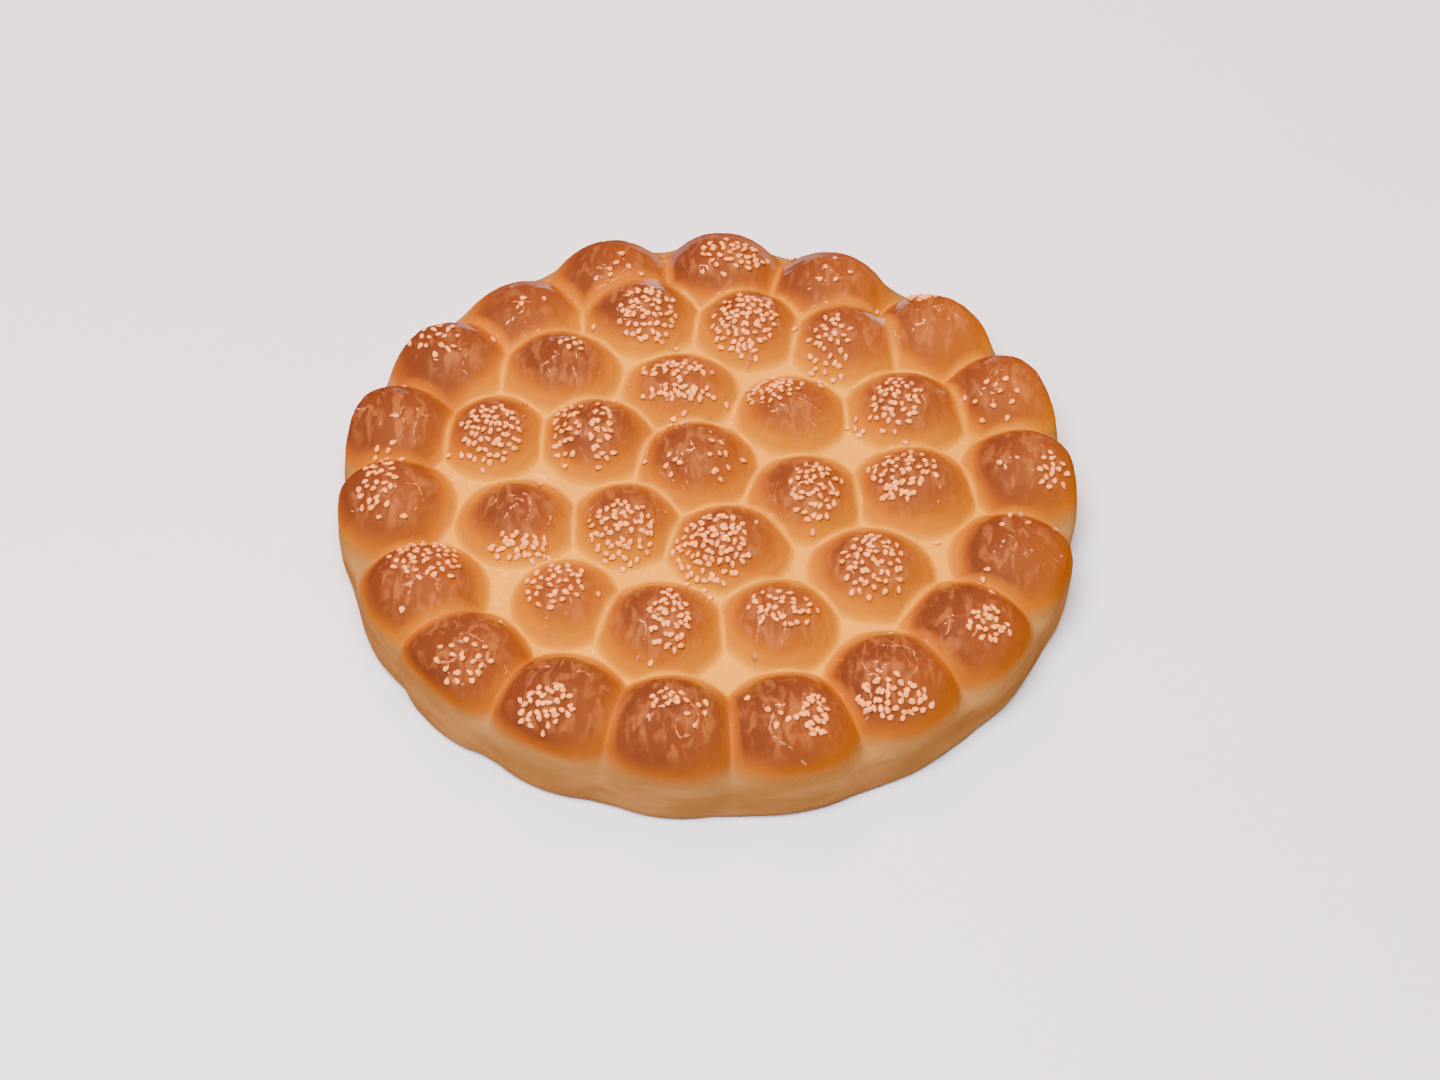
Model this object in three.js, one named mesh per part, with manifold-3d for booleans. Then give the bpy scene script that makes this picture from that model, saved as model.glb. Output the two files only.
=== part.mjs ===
// Honeycomb bread: one round pull-apart loaf of 37 small buns, baked together in a round pan,
// with sesame seeds stuck to the domes. Lengths are in millimetres, +Z is up, and the origin is the
// centre of the flat base.

import * as THREE from "three";
import { mergeVertices } from "three/addons/utils/BufferGeometryUtils.js";
import Module from "manifold-3d";

// The loaf as a whole
const PAN_RADIUS = 135;         // where the outer buns meet the pan
const SEAM_DEPTH = 2;           // how far the side stands back from the pan between two buns
const BALL_LEVEL = 16.5;        // height of the middle of the balls of dough
const CRUMB_TOP = 26;           // floor of the pits where three buns meet
const CRUMB_RIM = 22;           // the same at the rim
const RIM_FROM = 80;            // reach at which that floor starts to fall towards the rim
const BASE_ROUND = 3;           // radius of the bottom edge
const SPINE_RADIUS = 116;       // circle that the rounded shoulder is fanned from
const SHOULDER_LENGTH = 30;     // way over the shoulder, from the spine circle to the side

// How softly the dough runs together
const BUN_BLEND = 10;           // from bun to bun
const CRUMB_BLEND = 12;         // from a bun to the floor of a pit
const PAN_BLEND = 8;            // from a dome to the side

// The buns, ring by ring from the middle, clockwise seen from above. A turn is counted in degrees
// from the back (+Y). Each bun has its own turn and reach from the middle of the rings, its half
// width (X), its half depth (Y) and the height of its top.
const RINGS_CENTRE = [-2, 2.5];
const RINGS = [
  { start: 0, turn: [-28], reach: [6], wide: [23.5], deep: [23.5], top: [40] },
  {
    start: 347,
    turn: [0, -3, -3, -3, 1, 5],
    reach: [44, 45, 38, 36, 37, 43],
    wide: [23, 22, 22.5, 24, 21, 22.5],
    deep: [21.5, 22, 23.5, 23, 22, 23],
    top: [38, 38, 39, 39, 38.5, 39],
  },
  {
    start: 342,
    turn: [0, -1, -6, -8, -9, -6, -4, -2, -5, -3, 0, 1],
    reach: [85, 78, 87, 82, 76, 75, 75, 75, 78, 71, 79, 75],
    wide: [24, 22, 23, 24, 24, 24, 22.5, 24, 20, 23, 20, 24],
    deep: [23, 22.5, 23, 23, 24, 23.5, 23, 24, 21.5, 22.5, 23, 22.5],
    top: [38, 38.5, 38.5, 38.5, 39, 39, 38.5, 39.5, 37, 38, 38, 38.5],
  },
  {
    start: 340,
    turn: [0, 2, 4, 7, 7, 6, 7, 6, 4, 4, 4, 3, 2, -1, 1, 0, 0, -1],
    reach: [110, 109, 110, 115, 120, 117, 117, 116, 115, 118, 117, 118, 121, 114, 113, 116, 111, 106],
    wide: [24, 24, 24, 24, 24, 24, 24.5, 24.5, 24.5, 25, 25, 25, 24.5, 24.5, 24, 24, 24, 24],
    deep: [24, 24, 24, 24, 24, 24, 24.5, 24.5, 24.5, 25, 25, 25, 24.5, 24.5, 24, 24, 24, 24],
    top: [36, 37.5, 37, 37, 37.5, 38, 38, 38, 39, 39, 39, 39, 38.5, 38.5, 38, 37.5, 36, 34.5],
  },
];

// The patches of sesame, ring by ring and bun by bun. A patch is an oval round a place east and
// north of its bun's middle, with a half width, a half depth and the seeds that lie in it.
const SPRINKLED = [
  [
    [[-7, 19, 4, 6, 6], [-8, -7, 4, 4, 5], [8, -6, 4, 10, 9]],
  ],
  [
    [[-2, 3, 14, 4, 22], [0, -8, 13, 3, 26]], [[-7, 6, 10, 8, 26]], [[3, -4, 9, 14, 36]],
    [[-6, -6, 13, 14, 72]], [[-1, -9, 12, 12, 46]], [[-11, -1, 6, 14, 22], [2, -4, 5, 14, 22]],
  ],
  [
    [[3, -5, 11, 13, 42]], [[-2, -4, 12, 13, 55], [0, -15, 5, 3, 5]], [[-6, -8, 8, 14, 28]],
    [[-4, -3, 9, 12, 32], [-17, -10, 4, 5, 6]], [[-4, 2, 13, 9, 30], [-6, -8, 6, 4, 14]],
    [[0, -3, 11, 13, 42]], [[1, 0, 12, 8, 26]], [[3, -3, 7, 13, 32]], [[-4, 2, 11, 11, 26]],
    [[2, -15, 11, 4, 26]], [[-1, -5, 11, 13, 48]], [[4, 5, 6, 4, 7]],
  ],
  [
    [[4, -4, 11, 3, 5]], [[4, 0, 13, 7, 30]], [[1, 1, 7, 10, 5]], [[-4, 14, 4, 5, 12]],
    [[-5, -9, 11, 9, 9]], [[9, -6, 6, 7, 12]], [[1, 13, 7, 7, 5], [-11, -12, 2, 2, 2]],
    [[7, -4, 7, 7, 20]], [[0, -13, 13, 7, 35]], [[8, -3, 5, 8, 20], [-3, -6, 6, 5, 5]],
    [[-1, 4, 6, 5, 10], [8, 0, 6, 6, 6]], [[-4, -7, 10, 7, 28]], [[2, -7, 9, 8, 15]],
    [[1, 8, 13, 12, 35]], [[-5, 1, 6, 14, 22]], [[-2, -17, 7, 4, 6]], [[-6, 5, 10, 10, 12]],
    [[0, 2, 8, 3, 3]],
  ],
];

// The seeds: one in fourteen of the real ones is a solid here, a small drop that lies flat
const SEED_SHARE = 1 / 14;
const SEED_LENGTH = 3.2;
const SEED_WIDTH = 2;
const SEED_HEIGHT = 1.2;
const SEED_TAPER = 0.35;        // how much narrower the pointed end is
const SEED_LIFT = 0.1;          // height of a seed's middle over the crust
const FEELER = 0.5;             // half the span over which the crust's slope is felt
const GOLDEN_TURN = Math.PI * (3 - Math.sqrt(5));

// The fineness of the surface
const STEPS_PER_BUN = 9;        // from the middle of a bun to the middle of the next
const SHOULDER_ROWS = 5;
const SIDE_LEVELS = [8, 1.5, 0];

const CRUST = new THREE.MeshStandardMaterial({ color: 0xb5652f, roughness: 0.4, metalness: 0 });

/** The larger of two values, rounded where they come within blend of each other. */
function softMax(a, b, blend) {
  const near = Math.max(blend - Math.abs(a - b), 0) / blend;
  return Math.max(a, b) + (near ** 3 * blend) / 6;
}

/** A smooth step from 0 to 1 as value goes from one end to the other. */
function ease(value, from, to) {
  const s = Math.min(Math.max((value - from) / (to - from), 0), 1);
  return s * s * (3 - 2 * s);
}

/** A point from a turn clockwise from the back and a reach. */
function polar(turn, reach, z = 0) {
  return new THREE.Vector3(reach * Math.sin(turn), reach * Math.cos(turn), z);
}

/** The balls of dough of one ring: each has its middle and its three half sizes. */
function ballsOf(ring) {
  return ring.reach.map((reach, k) => {
    const degrees = ring.start + (360 / ring.reach.length) * k + ring.turn[k];
    const middle = polar(THREE.MathUtils.degToRad(degrees), reach, BALL_LEVEL);
    middle.x += RINGS_CENTRE[0];
    middle.y += RINGS_CENTRE[1];
    return { middle, size: new THREE.Vector3(ring.wide[k], ring.deep[k], ring.top[k] - BALL_LEVEL) };
  });
}

const BALLS_BY_RING = RINGS.map(ballsOf);
const BALLS = BALLS_BY_RING.flat();

/** How far along a ray a ball's surface lies: for a ray that misses, its nearest approach. */
function wayOutOf(ball, start, direction) {
  const from = start.clone().sub(ball.middle).divide(ball.size);
  const along = direction.clone().divide(ball.size);
  const a = along.dot(along);
  const b = from.dot(along);
  const c = from.dot(from) - 1;
  return (-b + Math.sqrt(Math.max(b * b - a * c, 0))) / a;
}

/** The crust along a ray from inside: the balls run together, over the crumb and inside the pan. */
function crustAlong(start, direction, crumb, pan) {
  const dough = BALLS.map((ball) => wayOutOf(ball, start, direction))
    .reduce((nearest, way) => softMax(nearest, way, BUN_BLEND));
  const free = softMax(dough, crumb, CRUMB_BLEND);
  const held = -softMax(-free, -pan, PAN_BLEND);
  return start.clone().addScaledVector(direction, held);
}

/** The crust over a plan point that lies within the spine circle. */
function topSkin(turn, reach) {
  const crumbTop = THREE.MathUtils.lerp(CRUMB_TOP, CRUMB_RIM, ease(reach, RIM_FROM, SPINE_RADIUS));
  const up = new THREE.Vector3(0, 0, 1);
  return crustAlong(polar(turn, reach, BALL_LEVEL), up, crumbTop - BALL_LEVEL, Infinity);
}

/** The crust round the shoulder, on a ray that leans out from the spine circle by lean. */
function shoulderSkin(turn, lean) {
  const out = Math.sin(lean);
  const up = Math.cos(lean);
  const direction = polar(turn, out, up);
  const crumbOut = PAN_RADIUS - SEAM_DEPTH - SPINE_RADIUS;
  const crumb = 1 / Math.hypot(out / crumbOut, up / (CRUMB_RIM - BALL_LEVEL));
  const pan = (PAN_RADIUS - SPINE_RADIUS) / Math.max(out, 1e-6);
  return crustAlong(polar(turn, SPINE_RADIUS, BALL_LEVEL), direction, crumb, pan);
}

/** The side at a height, drawn in where the bottom edge is round. */
function sideSkin(turn, z) {
  const below = Math.max(BASE_ROUND - z, 0);
  const drawnIn = BASE_ROUND - Math.sqrt(BASE_ROUND ** 2 - below ** 2);
  const pan = PAN_RADIUS - SPINE_RADIUS - drawnIn;
  return crustAlong(polar(turn, SPINE_RADIUS, z), polar(turn, 1), pan - SEAM_DEPTH, pan);
}

/** The crust at a turn and at a way from the middle that is measured over the shoulder. */
function skin(turn, way) {
  if (way <= SPINE_RADIUS) return topSkin(turn, way);
  const lean = ((way - SPINE_RADIUS) / SHOULDER_LENGTH) * (Math.PI / 2);
  return shoulderSkin(turn, Math.min(lean, Math.PI / 2));
}

/** The plan point at a share of the way round a ring: on its buns, and on an arc between two. */
function roundRing(ring, share) {
  const balls = BALLS_BY_RING[ring];
  const outermost = ring === RINGS.length - 1;
  if (balls.length === 1) return balls[0].middle.clone().setZ(0);
  const k = Math.floor(share * balls.length);
  const here = balls[k % balls.length].middle;
  const next = balls[(k + 1) % balls.length].middle;
  const t = share * balls.length - k;
  const turn = Math.atan2(here.x, here.y);
  const swing = Math.atan2(next.x, next.y) - turn;
  const shortSwing = swing - 2 * Math.PI * Math.round(swing / (2 * Math.PI));
  const reach = THREE.MathUtils.lerp(Math.hypot(here.x, here.y), Math.hypot(next.x, next.y), t);
  return polar(turn + shortSwing * t, outermost ? SPINE_RADIUS : reach);
}

/** The plan point of the lattice: six more points on each circle, STEPS_PER_BUN circles a ring. */
function latticePoint(circle, index) {
  const share = circle === 0 ? 0 : index / (6 * circle);
  const inner = Math.min(Math.floor(circle / STEPS_PER_BUN), RINGS.length - 2);
  const t = circle / STEPS_PER_BUN - inner;
  return roundRing(inner, share).lerp(roundRing(inner + 1, share), t);
}

/** The crust's points: the lattice over the top, then rows down the shoulder and the side. */
function crustPoints(circles) {
  const points = [];
  for (let circle = 0; circle <= circles; circle += 1) {
    for (let index = 0; index < Math.max(6 * circle, 1); index += 1) {
      const plan = latticePoint(circle, index);
      points.push(topSkin(Math.atan2(plan.x, plan.y), plan.length()));
    }
  }
  const turns = Array.from({ length: 6 * circles }, (_, index) => {
    const plan = latticePoint(circles, index);
    return Math.atan2(plan.x, plan.y);
  });
  for (let row = 1; row <= SHOULDER_ROWS; row += 1) {
    turns.forEach((turn) => points.push(shoulderSkin(turn, (row / SHOULDER_ROWS) * (Math.PI / 2))));
  }
  SIDE_LEVELS.forEach((z) => turns.forEach((turn) => points.push(sideSkin(turn, z))));
  points.push(new THREE.Vector3(0, 0, 0));
  return points;
}

/** The faces over the lattice: between two circles, the outer one has one more point a sixth. */
function latticeFaces(circles) {
  const faces = [];
  const first = (circle) => (circle === 0 ? 0 : 3 * circle * (circle - 1) + 1);
  for (let circle = 1; circle <= circles; circle += 1) {
    const outer = (index) => first(circle) + (index % (6 * circle));
    const inner = (index) => (circle === 1 ? 0 : first(circle - 1) + (index % (6 * (circle - 1))));
    for (let sixth = 0; sixth < 6; sixth += 1) {
      for (let step = 0; step < circle; step += 1) {
        const out = sixth * circle + step;
        const back = sixth * (circle - 1) + step;
        faces.push([outer(out), inner(back), outer(out + 1)]);
        if (step < circle - 1) faces.push([inner(back), inner(back + 1), outer(out + 1)]);
      }
    }
  }
  return faces;
}

/** The faces down the shoulder and the side, and the flat base as a fan round its middle. */
function sideFaces(circles) {
  const around = 6 * circles;
  const start = 3 * circles * (circles - 1) + 1;
  const rows = SHOULDER_ROWS + SIDE_LEVELS.length;
  const at = (row, index) => start + row * around + (index % around);
  const middle = start + (rows + 1) * around;
  const faces = [];
  for (let index = 0; index < around; index += 1) {
    for (let row = 0; row < rows; row += 1) {
      faces.push([at(row, index), at(row, index + 1), at(row + 1, index)]);
      faces.push([at(row, index + 1), at(row + 1, index + 1), at(row + 1, index)]);
    }
    faces.push([at(rows, index), at(rows, index + 1), middle]);
  }
  return faces;
}

/** The loaf without its seeds, as one closed geometry. */
function loafGeometry() {
  const circles = STEPS_PER_BUN * (RINGS.length - 1);
  const points = crustPoints(circles);
  const faces = [...latticeFaces(circles), ...sideFaces(circles)];
  const geometry = new THREE.BufferGeometry();
  geometry.setAttribute("position",
    new THREE.Float32BufferAttribute(points.flatMap((p) => p.toArray()), 3));
  geometry.setIndex(faces.flat());
  return geometry;
}

/** A seed along X, flat on the crust and pointed at its far end. */
function seedGeometry() {
  const geometry = new THREE.SphereGeometry(1, 5, 4);
  geometry.rotateZ(-Math.PI / 2);
  const position = geometry.getAttribute("position");
  for (let i = 0; i < position.count; i += 1) {
    const along = position.getX(i);
    const girth = 1 - SEED_TAPER * along;
    position.setXYZ(i, (along * SEED_LENGTH) / 2,
      (position.getY(i) * girth * SEED_WIDTH) / 2, (position.getZ(i) * girth * SEED_HEIGHT) / 2);
  }
  return geometry;
}

/** The outward direction of the crust at a turn and a way from the middle. */
function skinNormal(turn, way) {
  const acrossTurn = FEELER / way;
  const out = skin(turn, way + FEELER).sub(skin(turn, way - FEELER));
  const round = skin(turn + acrossTurn, way).sub(skin(turn - acrossTurn, way));
  return out.cross(round).negate().normalize();
}

/** Where a seed lies: on the facet that a ray from outside meets first. */
function seatOn(crust, turn, way) {
  const normal = skinNormal(turn, way);
  const from = skin(turn, way).addScaledVector(normal, SEED_LENGTH);
  const [hit] = new THREE.Raycaster(from, normal.negate()).intersectObject(crust);
  return { at: hit.point, normal: hit.face.normal };
}

/** The places of the seeds: each patch is filled from its middle outwards in a spiral. */
function seedPlaces() {
  const places = [];
  SPRINKLED.forEach((ring, r) => ring.forEach((patches, k) => {
    const { middle } = BALLS_BY_RING[r][k];
    patches.forEach(([east, north, wide, deep, count], p) => {
      const made = Math.max(Math.round(count * SEED_SHARE), 1);
      for (let i = 0; i < made; i += 1) {
        const swing = i * GOLDEN_TURN + r + 2 * k + p;
        const share = Math.sqrt((i + 0.5) / made);
        const x = middle.x + east + wide * share * Math.cos(swing);
        const y = middle.y + north + deep * share * Math.sin(swing);
        places.push({ turn: Math.atan2(x, y), way: Math.hypot(x, y), yaw: 5 * swing });
      }
    });
  }));
  return places;
}

/** A closed geometry as a solid, its shared vertices merged. */
function solidOf(wasm, geometry) {
  const bare = geometry.clone();
  bare.deleteAttribute("normal");
  bare.deleteAttribute("uv");
  const merged = mergeVertices(bare, 1e-4);
  return new wasm.Manifold(new wasm.Mesh({
    numProp: 3,
    vertProperties: new Float32Array(merged.getAttribute("position").array),
    triVerts: new Uint32Array(merged.getIndex().array),
  }));
}

/** A solid's surface as a geometry. */
function geometryOf(solid) {
  const mesh = solid.getMesh();
  const geometry = new THREE.BufferGeometry();
  geometry.setAttribute("position", new THREE.BufferAttribute(mesh.vertProperties, 3));
  geometry.setIndex(new THREE.BufferAttribute(mesh.triVerts, 1));
  geometry.computeVertexNormals();
  return geometry;
}

/** The loaf with its seeds fused on. */
function seededLoaf(wasm) {
  const seed = seedGeometry();
  const crust = new THREE.Mesh(loafGeometry(), CRUST);
  const up = new THREE.Vector3(0, 0, 1);
  let loaf = solidOf(wasm, crust.geometry);
  seedPlaces().forEach(({ turn, way, yaw }) => {
    const { at, normal } = seatOn(crust, turn, way);
    const lie = new THREE.Quaternion().setFromUnitVectors(up, normal);
    lie.multiply(new THREE.Quaternion().setFromAxisAngle(up, yaw));
    at.addScaledVector(normal, SEED_LIFT);
    const placed = new THREE.Matrix4().compose(at, lie, new THREE.Vector3(1, 1, 1));
    loaf = loaf.add(solidOf(wasm, seed.clone().applyMatrix4(placed)));
  });
  return geometryOf(loaf);
}

const wasm = await Module();
wasm.setup();

const bread = new THREE.Group();
const loaf = new THREE.Mesh(seededLoaf(wasm), CRUST);
loaf.name = "loaf";
bread.add(loaf);

export default bread;
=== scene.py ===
"""Honeycomb bread: the crust, the sesame seeds and the threads of syrup, in the frame of the part.

The crust, the seeds and the threads are grown by Geometry Nodes from a few named sizes. Sizes are
in metres unless a class says otherwise, +Z is up, and the origin is the centre of the flat base.
"""

import logging
import math
from dataclasses import dataclass, field
from enum import Enum
from typing import Any, Iterable, Sequence

import bpy
import numpy as np
from mathutils import Matrix, Vector


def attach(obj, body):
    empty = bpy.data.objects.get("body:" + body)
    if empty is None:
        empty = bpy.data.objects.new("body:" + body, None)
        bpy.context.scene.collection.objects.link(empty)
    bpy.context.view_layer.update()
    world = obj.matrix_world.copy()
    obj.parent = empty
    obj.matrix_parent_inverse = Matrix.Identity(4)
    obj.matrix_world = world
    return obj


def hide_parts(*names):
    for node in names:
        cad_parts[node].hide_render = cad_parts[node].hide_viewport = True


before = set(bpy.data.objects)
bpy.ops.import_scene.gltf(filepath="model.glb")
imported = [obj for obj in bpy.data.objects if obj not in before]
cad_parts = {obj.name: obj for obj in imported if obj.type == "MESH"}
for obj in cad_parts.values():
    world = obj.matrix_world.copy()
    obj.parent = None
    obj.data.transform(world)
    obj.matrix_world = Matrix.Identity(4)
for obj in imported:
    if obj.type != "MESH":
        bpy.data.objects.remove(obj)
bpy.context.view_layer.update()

LOG = logging.getLogger("honeycomb_bread")
MM = 0.001
Colour = tuple[float, float, float]
Span = tuple[float, float]
Triple = tuple[float, float, float]
Socket = bpy.types.NodeSocket


class Piece(Enum):
    """The pieces of the bread, each with the name that its object and its mesh take."""

    CRUST = "crust"
    SESAME = "sesame"
    SYRUP = "syrup"


@dataclass
class NodeBench:
    """Adds nodes to one tree and joins them, so that a rule reads as a formula."""

    tree: bpy.types.NodeTree

    def feed(self, socket: Socket, source: Any) -> None:
        """Links a socket to another one, or sets its value.

        Args:
            socket: The input to feed.
            source: Another node's output, or a plain value.
        """
        if isinstance(source, Socket):
            self.tree.links.new(source, socket)
        else:
            socket.default_value = source

    def add(self, kind: str, settings: dict[str, Any] | None = None,
            feeds: dict[Any, Any] | None = None) -> bpy.types.Node:
        """Adds one node.

        Args:
            kind: The node's type name.
            settings: Its options by attribute name.
            feeds: Its inputs by name or number, each a socket or a value.

        Returns:
            The new node.
        """
        node = self.tree.nodes.new(kind)
        for option, value in (settings or {}).items():
            setattr(node, option, value)
        for key, source in (feeds or {}).items():
            self.feed(node.inputs[key], source)
        return node

    def math(self, operation: str, *sources: Any) -> Socket:
        """The result of a Math node."""
        return self.add("ShaderNodeMath", {"operation": operation}, dict(enumerate(sources))).outputs[0]

    def times(self, value: Any, factor: Any) -> Socket:
        """A number times another."""
        return self.math("MULTIPLY", value, factor)

    def plus(self, value: Any, more: Any) -> Socket:
        """A number plus another."""
        return self.math("ADD", value, more)

    def minus(self, value: Any, less: Any) -> Socket:
        """A number minus another."""
        return self.math("SUBTRACT", value, less)

    def over(self, value: Any, divisor: Any) -> Socket:
        """A number over another."""
        return self.math("DIVIDE", value, divisor)

    def larger(self, value: Any, other: Any) -> Socket:
        """The larger of two numbers."""
        return self.math("MAXIMUM", value, other)

    def smaller(self, value: Any, other: Any) -> Socket:
        """The smaller of two numbers."""
        return self.math("MINIMUM", value, other)

    def vector(self, operation: str, *sources: Any) -> Socket:
        """The result of a Vector Math node, a number for a dot product or a length."""
        node = self.add("ShaderNodeVectorMath", {"operation": operation}, dict(enumerate(sources)))
        return node.outputs["Value" if operation in ("DOT_PRODUCT", "LENGTH") else "Vector"]

    def scaled(self, vector: Any, factor: Any) -> Socket:
        """A vector times a number."""
        return self.add("ShaderNodeVectorMath", {"operation": "SCALE"},
                        {"Vector": vector, "Scale": factor}).outputs["Vector"]

    def combine(self, x: Any, y: Any, z: Any) -> Socket:
        """A vector from three numbers."""
        return self.add("ShaderNodeCombineXYZ", None, {0: x, 1: y, 2: z}).outputs[0]

    def split(self, vector: Any) -> tuple[Socket, ...]:
        """The three numbers of a vector."""
        return tuple(self.add("ShaderNodeSeparateXYZ", None, {0: vector}).outputs)

    def ease(self, value: Any, low: Any, high: Any, to_low: Any = 0.0, to_high: Any = 1.0) -> Socket:
        """A smooth step from to_low at one value to to_high at another."""
        node = self.add("ShaderNodeMapRange", {"interpolation_type": "SMOOTHSTEP"}, {
            "Value": value, "From Min": low, "From Max": high, "To Min": to_low, "To Max": to_high})
        return node.outputs["Result"]

    def noise(self, place: Any, scale: float, detail: float = 2.0, roughness: float = 0.5,
              distortion: float = 0.0) -> Socket:
        """A noise of about 0.5 on average, with so many grains for each unit of length."""
        node = self.add("ShaderNodeTexNoise", None, {
            "Vector": place, "Scale": scale, "Detail": detail, "Roughness": roughness,
            "Distortion": distortion})
        return node.outputs[0]


class ShapeTree(NodeBench):
    """A Geometry Nodes tree with named inputs, grown on a host mesh into a plain mesh."""

    def __init__(self, name: str) -> None:
        """Starts an empty tree with one geometry in and one out.

        Args:
            name: The tree's name.
        """
        super().__init__(bpy.data.node_groups.new(name, "GeometryNodeTree"))
        sockets = self.tree.interface
        sockets.new_socket("Geometry", in_out="INPUT", socket_type="NodeSocketGeometry")
        sockets.new_socket("Geometry", in_out="OUTPUT", socket_type="NodeSocketGeometry")
        self.start = self.tree.nodes.new("NodeGroupInput")
        self.end = self.tree.nodes.new("NodeGroupOutput")
        self.values: dict[str, Any] = {}

    def given(self, name: str, kind: str, value: Any) -> Socket:
        """A named input of the tree.

        Args:
            name: The input's name.
            kind: The socket's type, such as Float or Object.
            value: What the modifier sets it to.

        Returns:
            The socket inside the tree.
        """
        item = self.tree.interface.new_socket(name, in_out="INPUT", socket_type=f"NodeSocket{kind}")
        self.values[item.identifier] = value
        return next(s for s in self.start.outputs if s.identifier == item.identifier)

    def sizes(self, source: Any, *names: str) -> list[Socket]:
        """Named inputs of the tree, one for each of these sizes of a sub-assembly."""
        return [self.given(name.replace("_", " ").title(), "Float", getattr(source, name))
                for name in names]

    def shape(self, name: str, source: bpy.types.Object) -> Socket:
        """The geometry of an object that is a named input of the tree."""
        taken = self.given(name, "Object", source)
        return self.add("GeometryNodeObjectInfo", None, {"Object": taken}).outputs["Geometry"]

    def position(self) -> Socket:
        """Each point's own place as a field."""
        return self.add("GeometryNodeInputPosition").outputs[0]

    def moved(self, geometry: Any, place: Any, by: str = "Position") -> Socket:
        """The geometry with its points moved to a place, or by an offset."""
        return self.add("GeometryNodeSetPosition", None, {"Geometry": geometry, by: place}).outputs[0]

    def attribute(self, name: str, kind: str = "FLOAT") -> Socket:
        """A named attribute of the geometry as a field."""
        return self.add("GeometryNodeInputNamedAttribute", {"data_type": kind}, {0: name}).outputs[0]

    def stored(self, geometry: Any, name: str, value: Any, kind: str = "FLOAT",
               domain: str = "POINT") -> Socket:
        """The geometry with a field stored on it under a name."""
        node = self.add("GeometryNodeStoreNamedAttribute", {"data_type": kind, "domain": domain},
                        {"Geometry": geometry, "Name": name, "Value": value})
        return node.outputs[0]

    def picked(self, geometry: Any, value: Any, index: Any, kind: str) -> Socket:
        """The value that a field has at one numbered point of a geometry."""
        node = self.add("GeometryNodeSampleIndex", {"data_type": kind},
                        {"Geometry": geometry, "Value": value, "Index": index})
        return node.outputs[0]

    def chosen(self, when: Any, otherwise: Any, then: Any, kind: str) -> Socket:
        """One of two fields, by a test."""
        node = self.add("GeometryNodeSwitch", {"input_type": kind},
                        {"Switch": when, "False": otherwise, "True": then})
        return node.outputs[0]

    def greater(self, value: Any, limit: Any) -> Socket:
        """Whether a value is greater than a limit."""
        return self.add("FunctionNodeCompare", {"data_type": "FLOAT", "operation": "GREATER_THAN"},
                        {0: value, 1: limit}).outputs[0]

    def drawn(self, low: Any, high: Any, number: Any, seed: int, kind: str = "FLOAT") -> Socket:
        """A random value for each point, the same at every run.

        Args:
            low: The least value.
            high: The greatest value.
            number: The point's number.
            seed: The seed.
            kind: FLOAT or FLOAT_VECTOR.

        Returns:
            The field of values.
        """
        node = self.add("FunctionNodeRandomValue", {"data_type": kind})
        inputs = [s for s in node.inputs if s.enabled]
        for socket, source in zip(inputs, (low, high, number, seed)):
            self.feed(socket, source)
        return next(s for s in node.outputs if s.enabled)

    def finished(self, geometry: Any, finish: bpy.types.Material) -> None:
        """Ends the tree: instances made real, smooth faces and the finish.

        Args:
            geometry: What the tree puts out.
            finish: The material.
        """
        real = self.add("GeometryNodeRealizeInstances", None, {"Geometry": geometry}).outputs[0]
        smooth = self.add("GeometryNodeSetShadeSmooth", None, {"Geometry": real}).outputs[0]
        slot = self.given("Finish", "Material", finish)
        dressed = self.add("GeometryNodeSetMaterial", None, {"Geometry": smooth, "Material": slot})
        self.feed(self.end.inputs[0], dressed.outputs[0])

    def grown(self, host: bpy.types.Object, piece: Piece) -> bpy.types.Object:
        """Grows the tree on a host into a plain mesh and puts the host away.

        Args:
            host: The object whose mesh the tree starts from.
            piece: Which piece of the bread it becomes.

        Returns:
            The finished piece.
        """
        modifier = host.modifiers.new(self.tree.name, "NODES")
        modifier.node_group = self.tree
        for identifier, value in self.values.items():
            modifier[identifier] = value
        shaped = host.evaluated_get(bpy.context.evaluated_depsgraph_get())
        mesh = bpy.data.meshes.new_from_object(shaped)
        mesh.name = piece.value
        host.modifiers.remove(modifier)
        bpy.data.objects.remove(host)
        return placed(piece.value, mesh)


def placed(name: str, mesh: bpy.types.Mesh) -> bpy.types.Object:
    """A mesh as an object of the scene.

    Args:
        name: The object's name.
        mesh: Its mesh.

    Returns:
        The object, at the origin.
    """
    made = bpy.data.objects.new(name, mesh)
    bpy.context.scene.collection.objects.link(made)
    return made


def point_mesh(name: str, points: np.ndarray, faces: Sequence[Sequence[int]] = (),
               edges: Sequence[Sequence[int]] = (), **kept: np.ndarray) -> bpy.types.Object:
    """A mesh from arrays, with attributes on its points.

    Args:
        name: The object's name.
        points: Its points.
        faces: Its faces by point number.
        edges: Its loose edges by point number.
        **kept: The attributes: a row of numbers or of vectors for each name.

    Returns:
        The object that holds the mesh.
    """
    mesh = bpy.data.meshes.new(name)
    mesh.from_pydata(np.asarray(points).tolist(), edges, faces)
    for label, values in kept.items():
        values = np.asarray(values, np.float32)
        kind, part = ("FLOAT", "value") if values.ndim == 1 else ("FLOAT_VECTOR", "vector")
        mesh.attributes.new(label, kind, "POINT").data.foreach_set(part, values.ravel())
    return placed(name, mesh)


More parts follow.
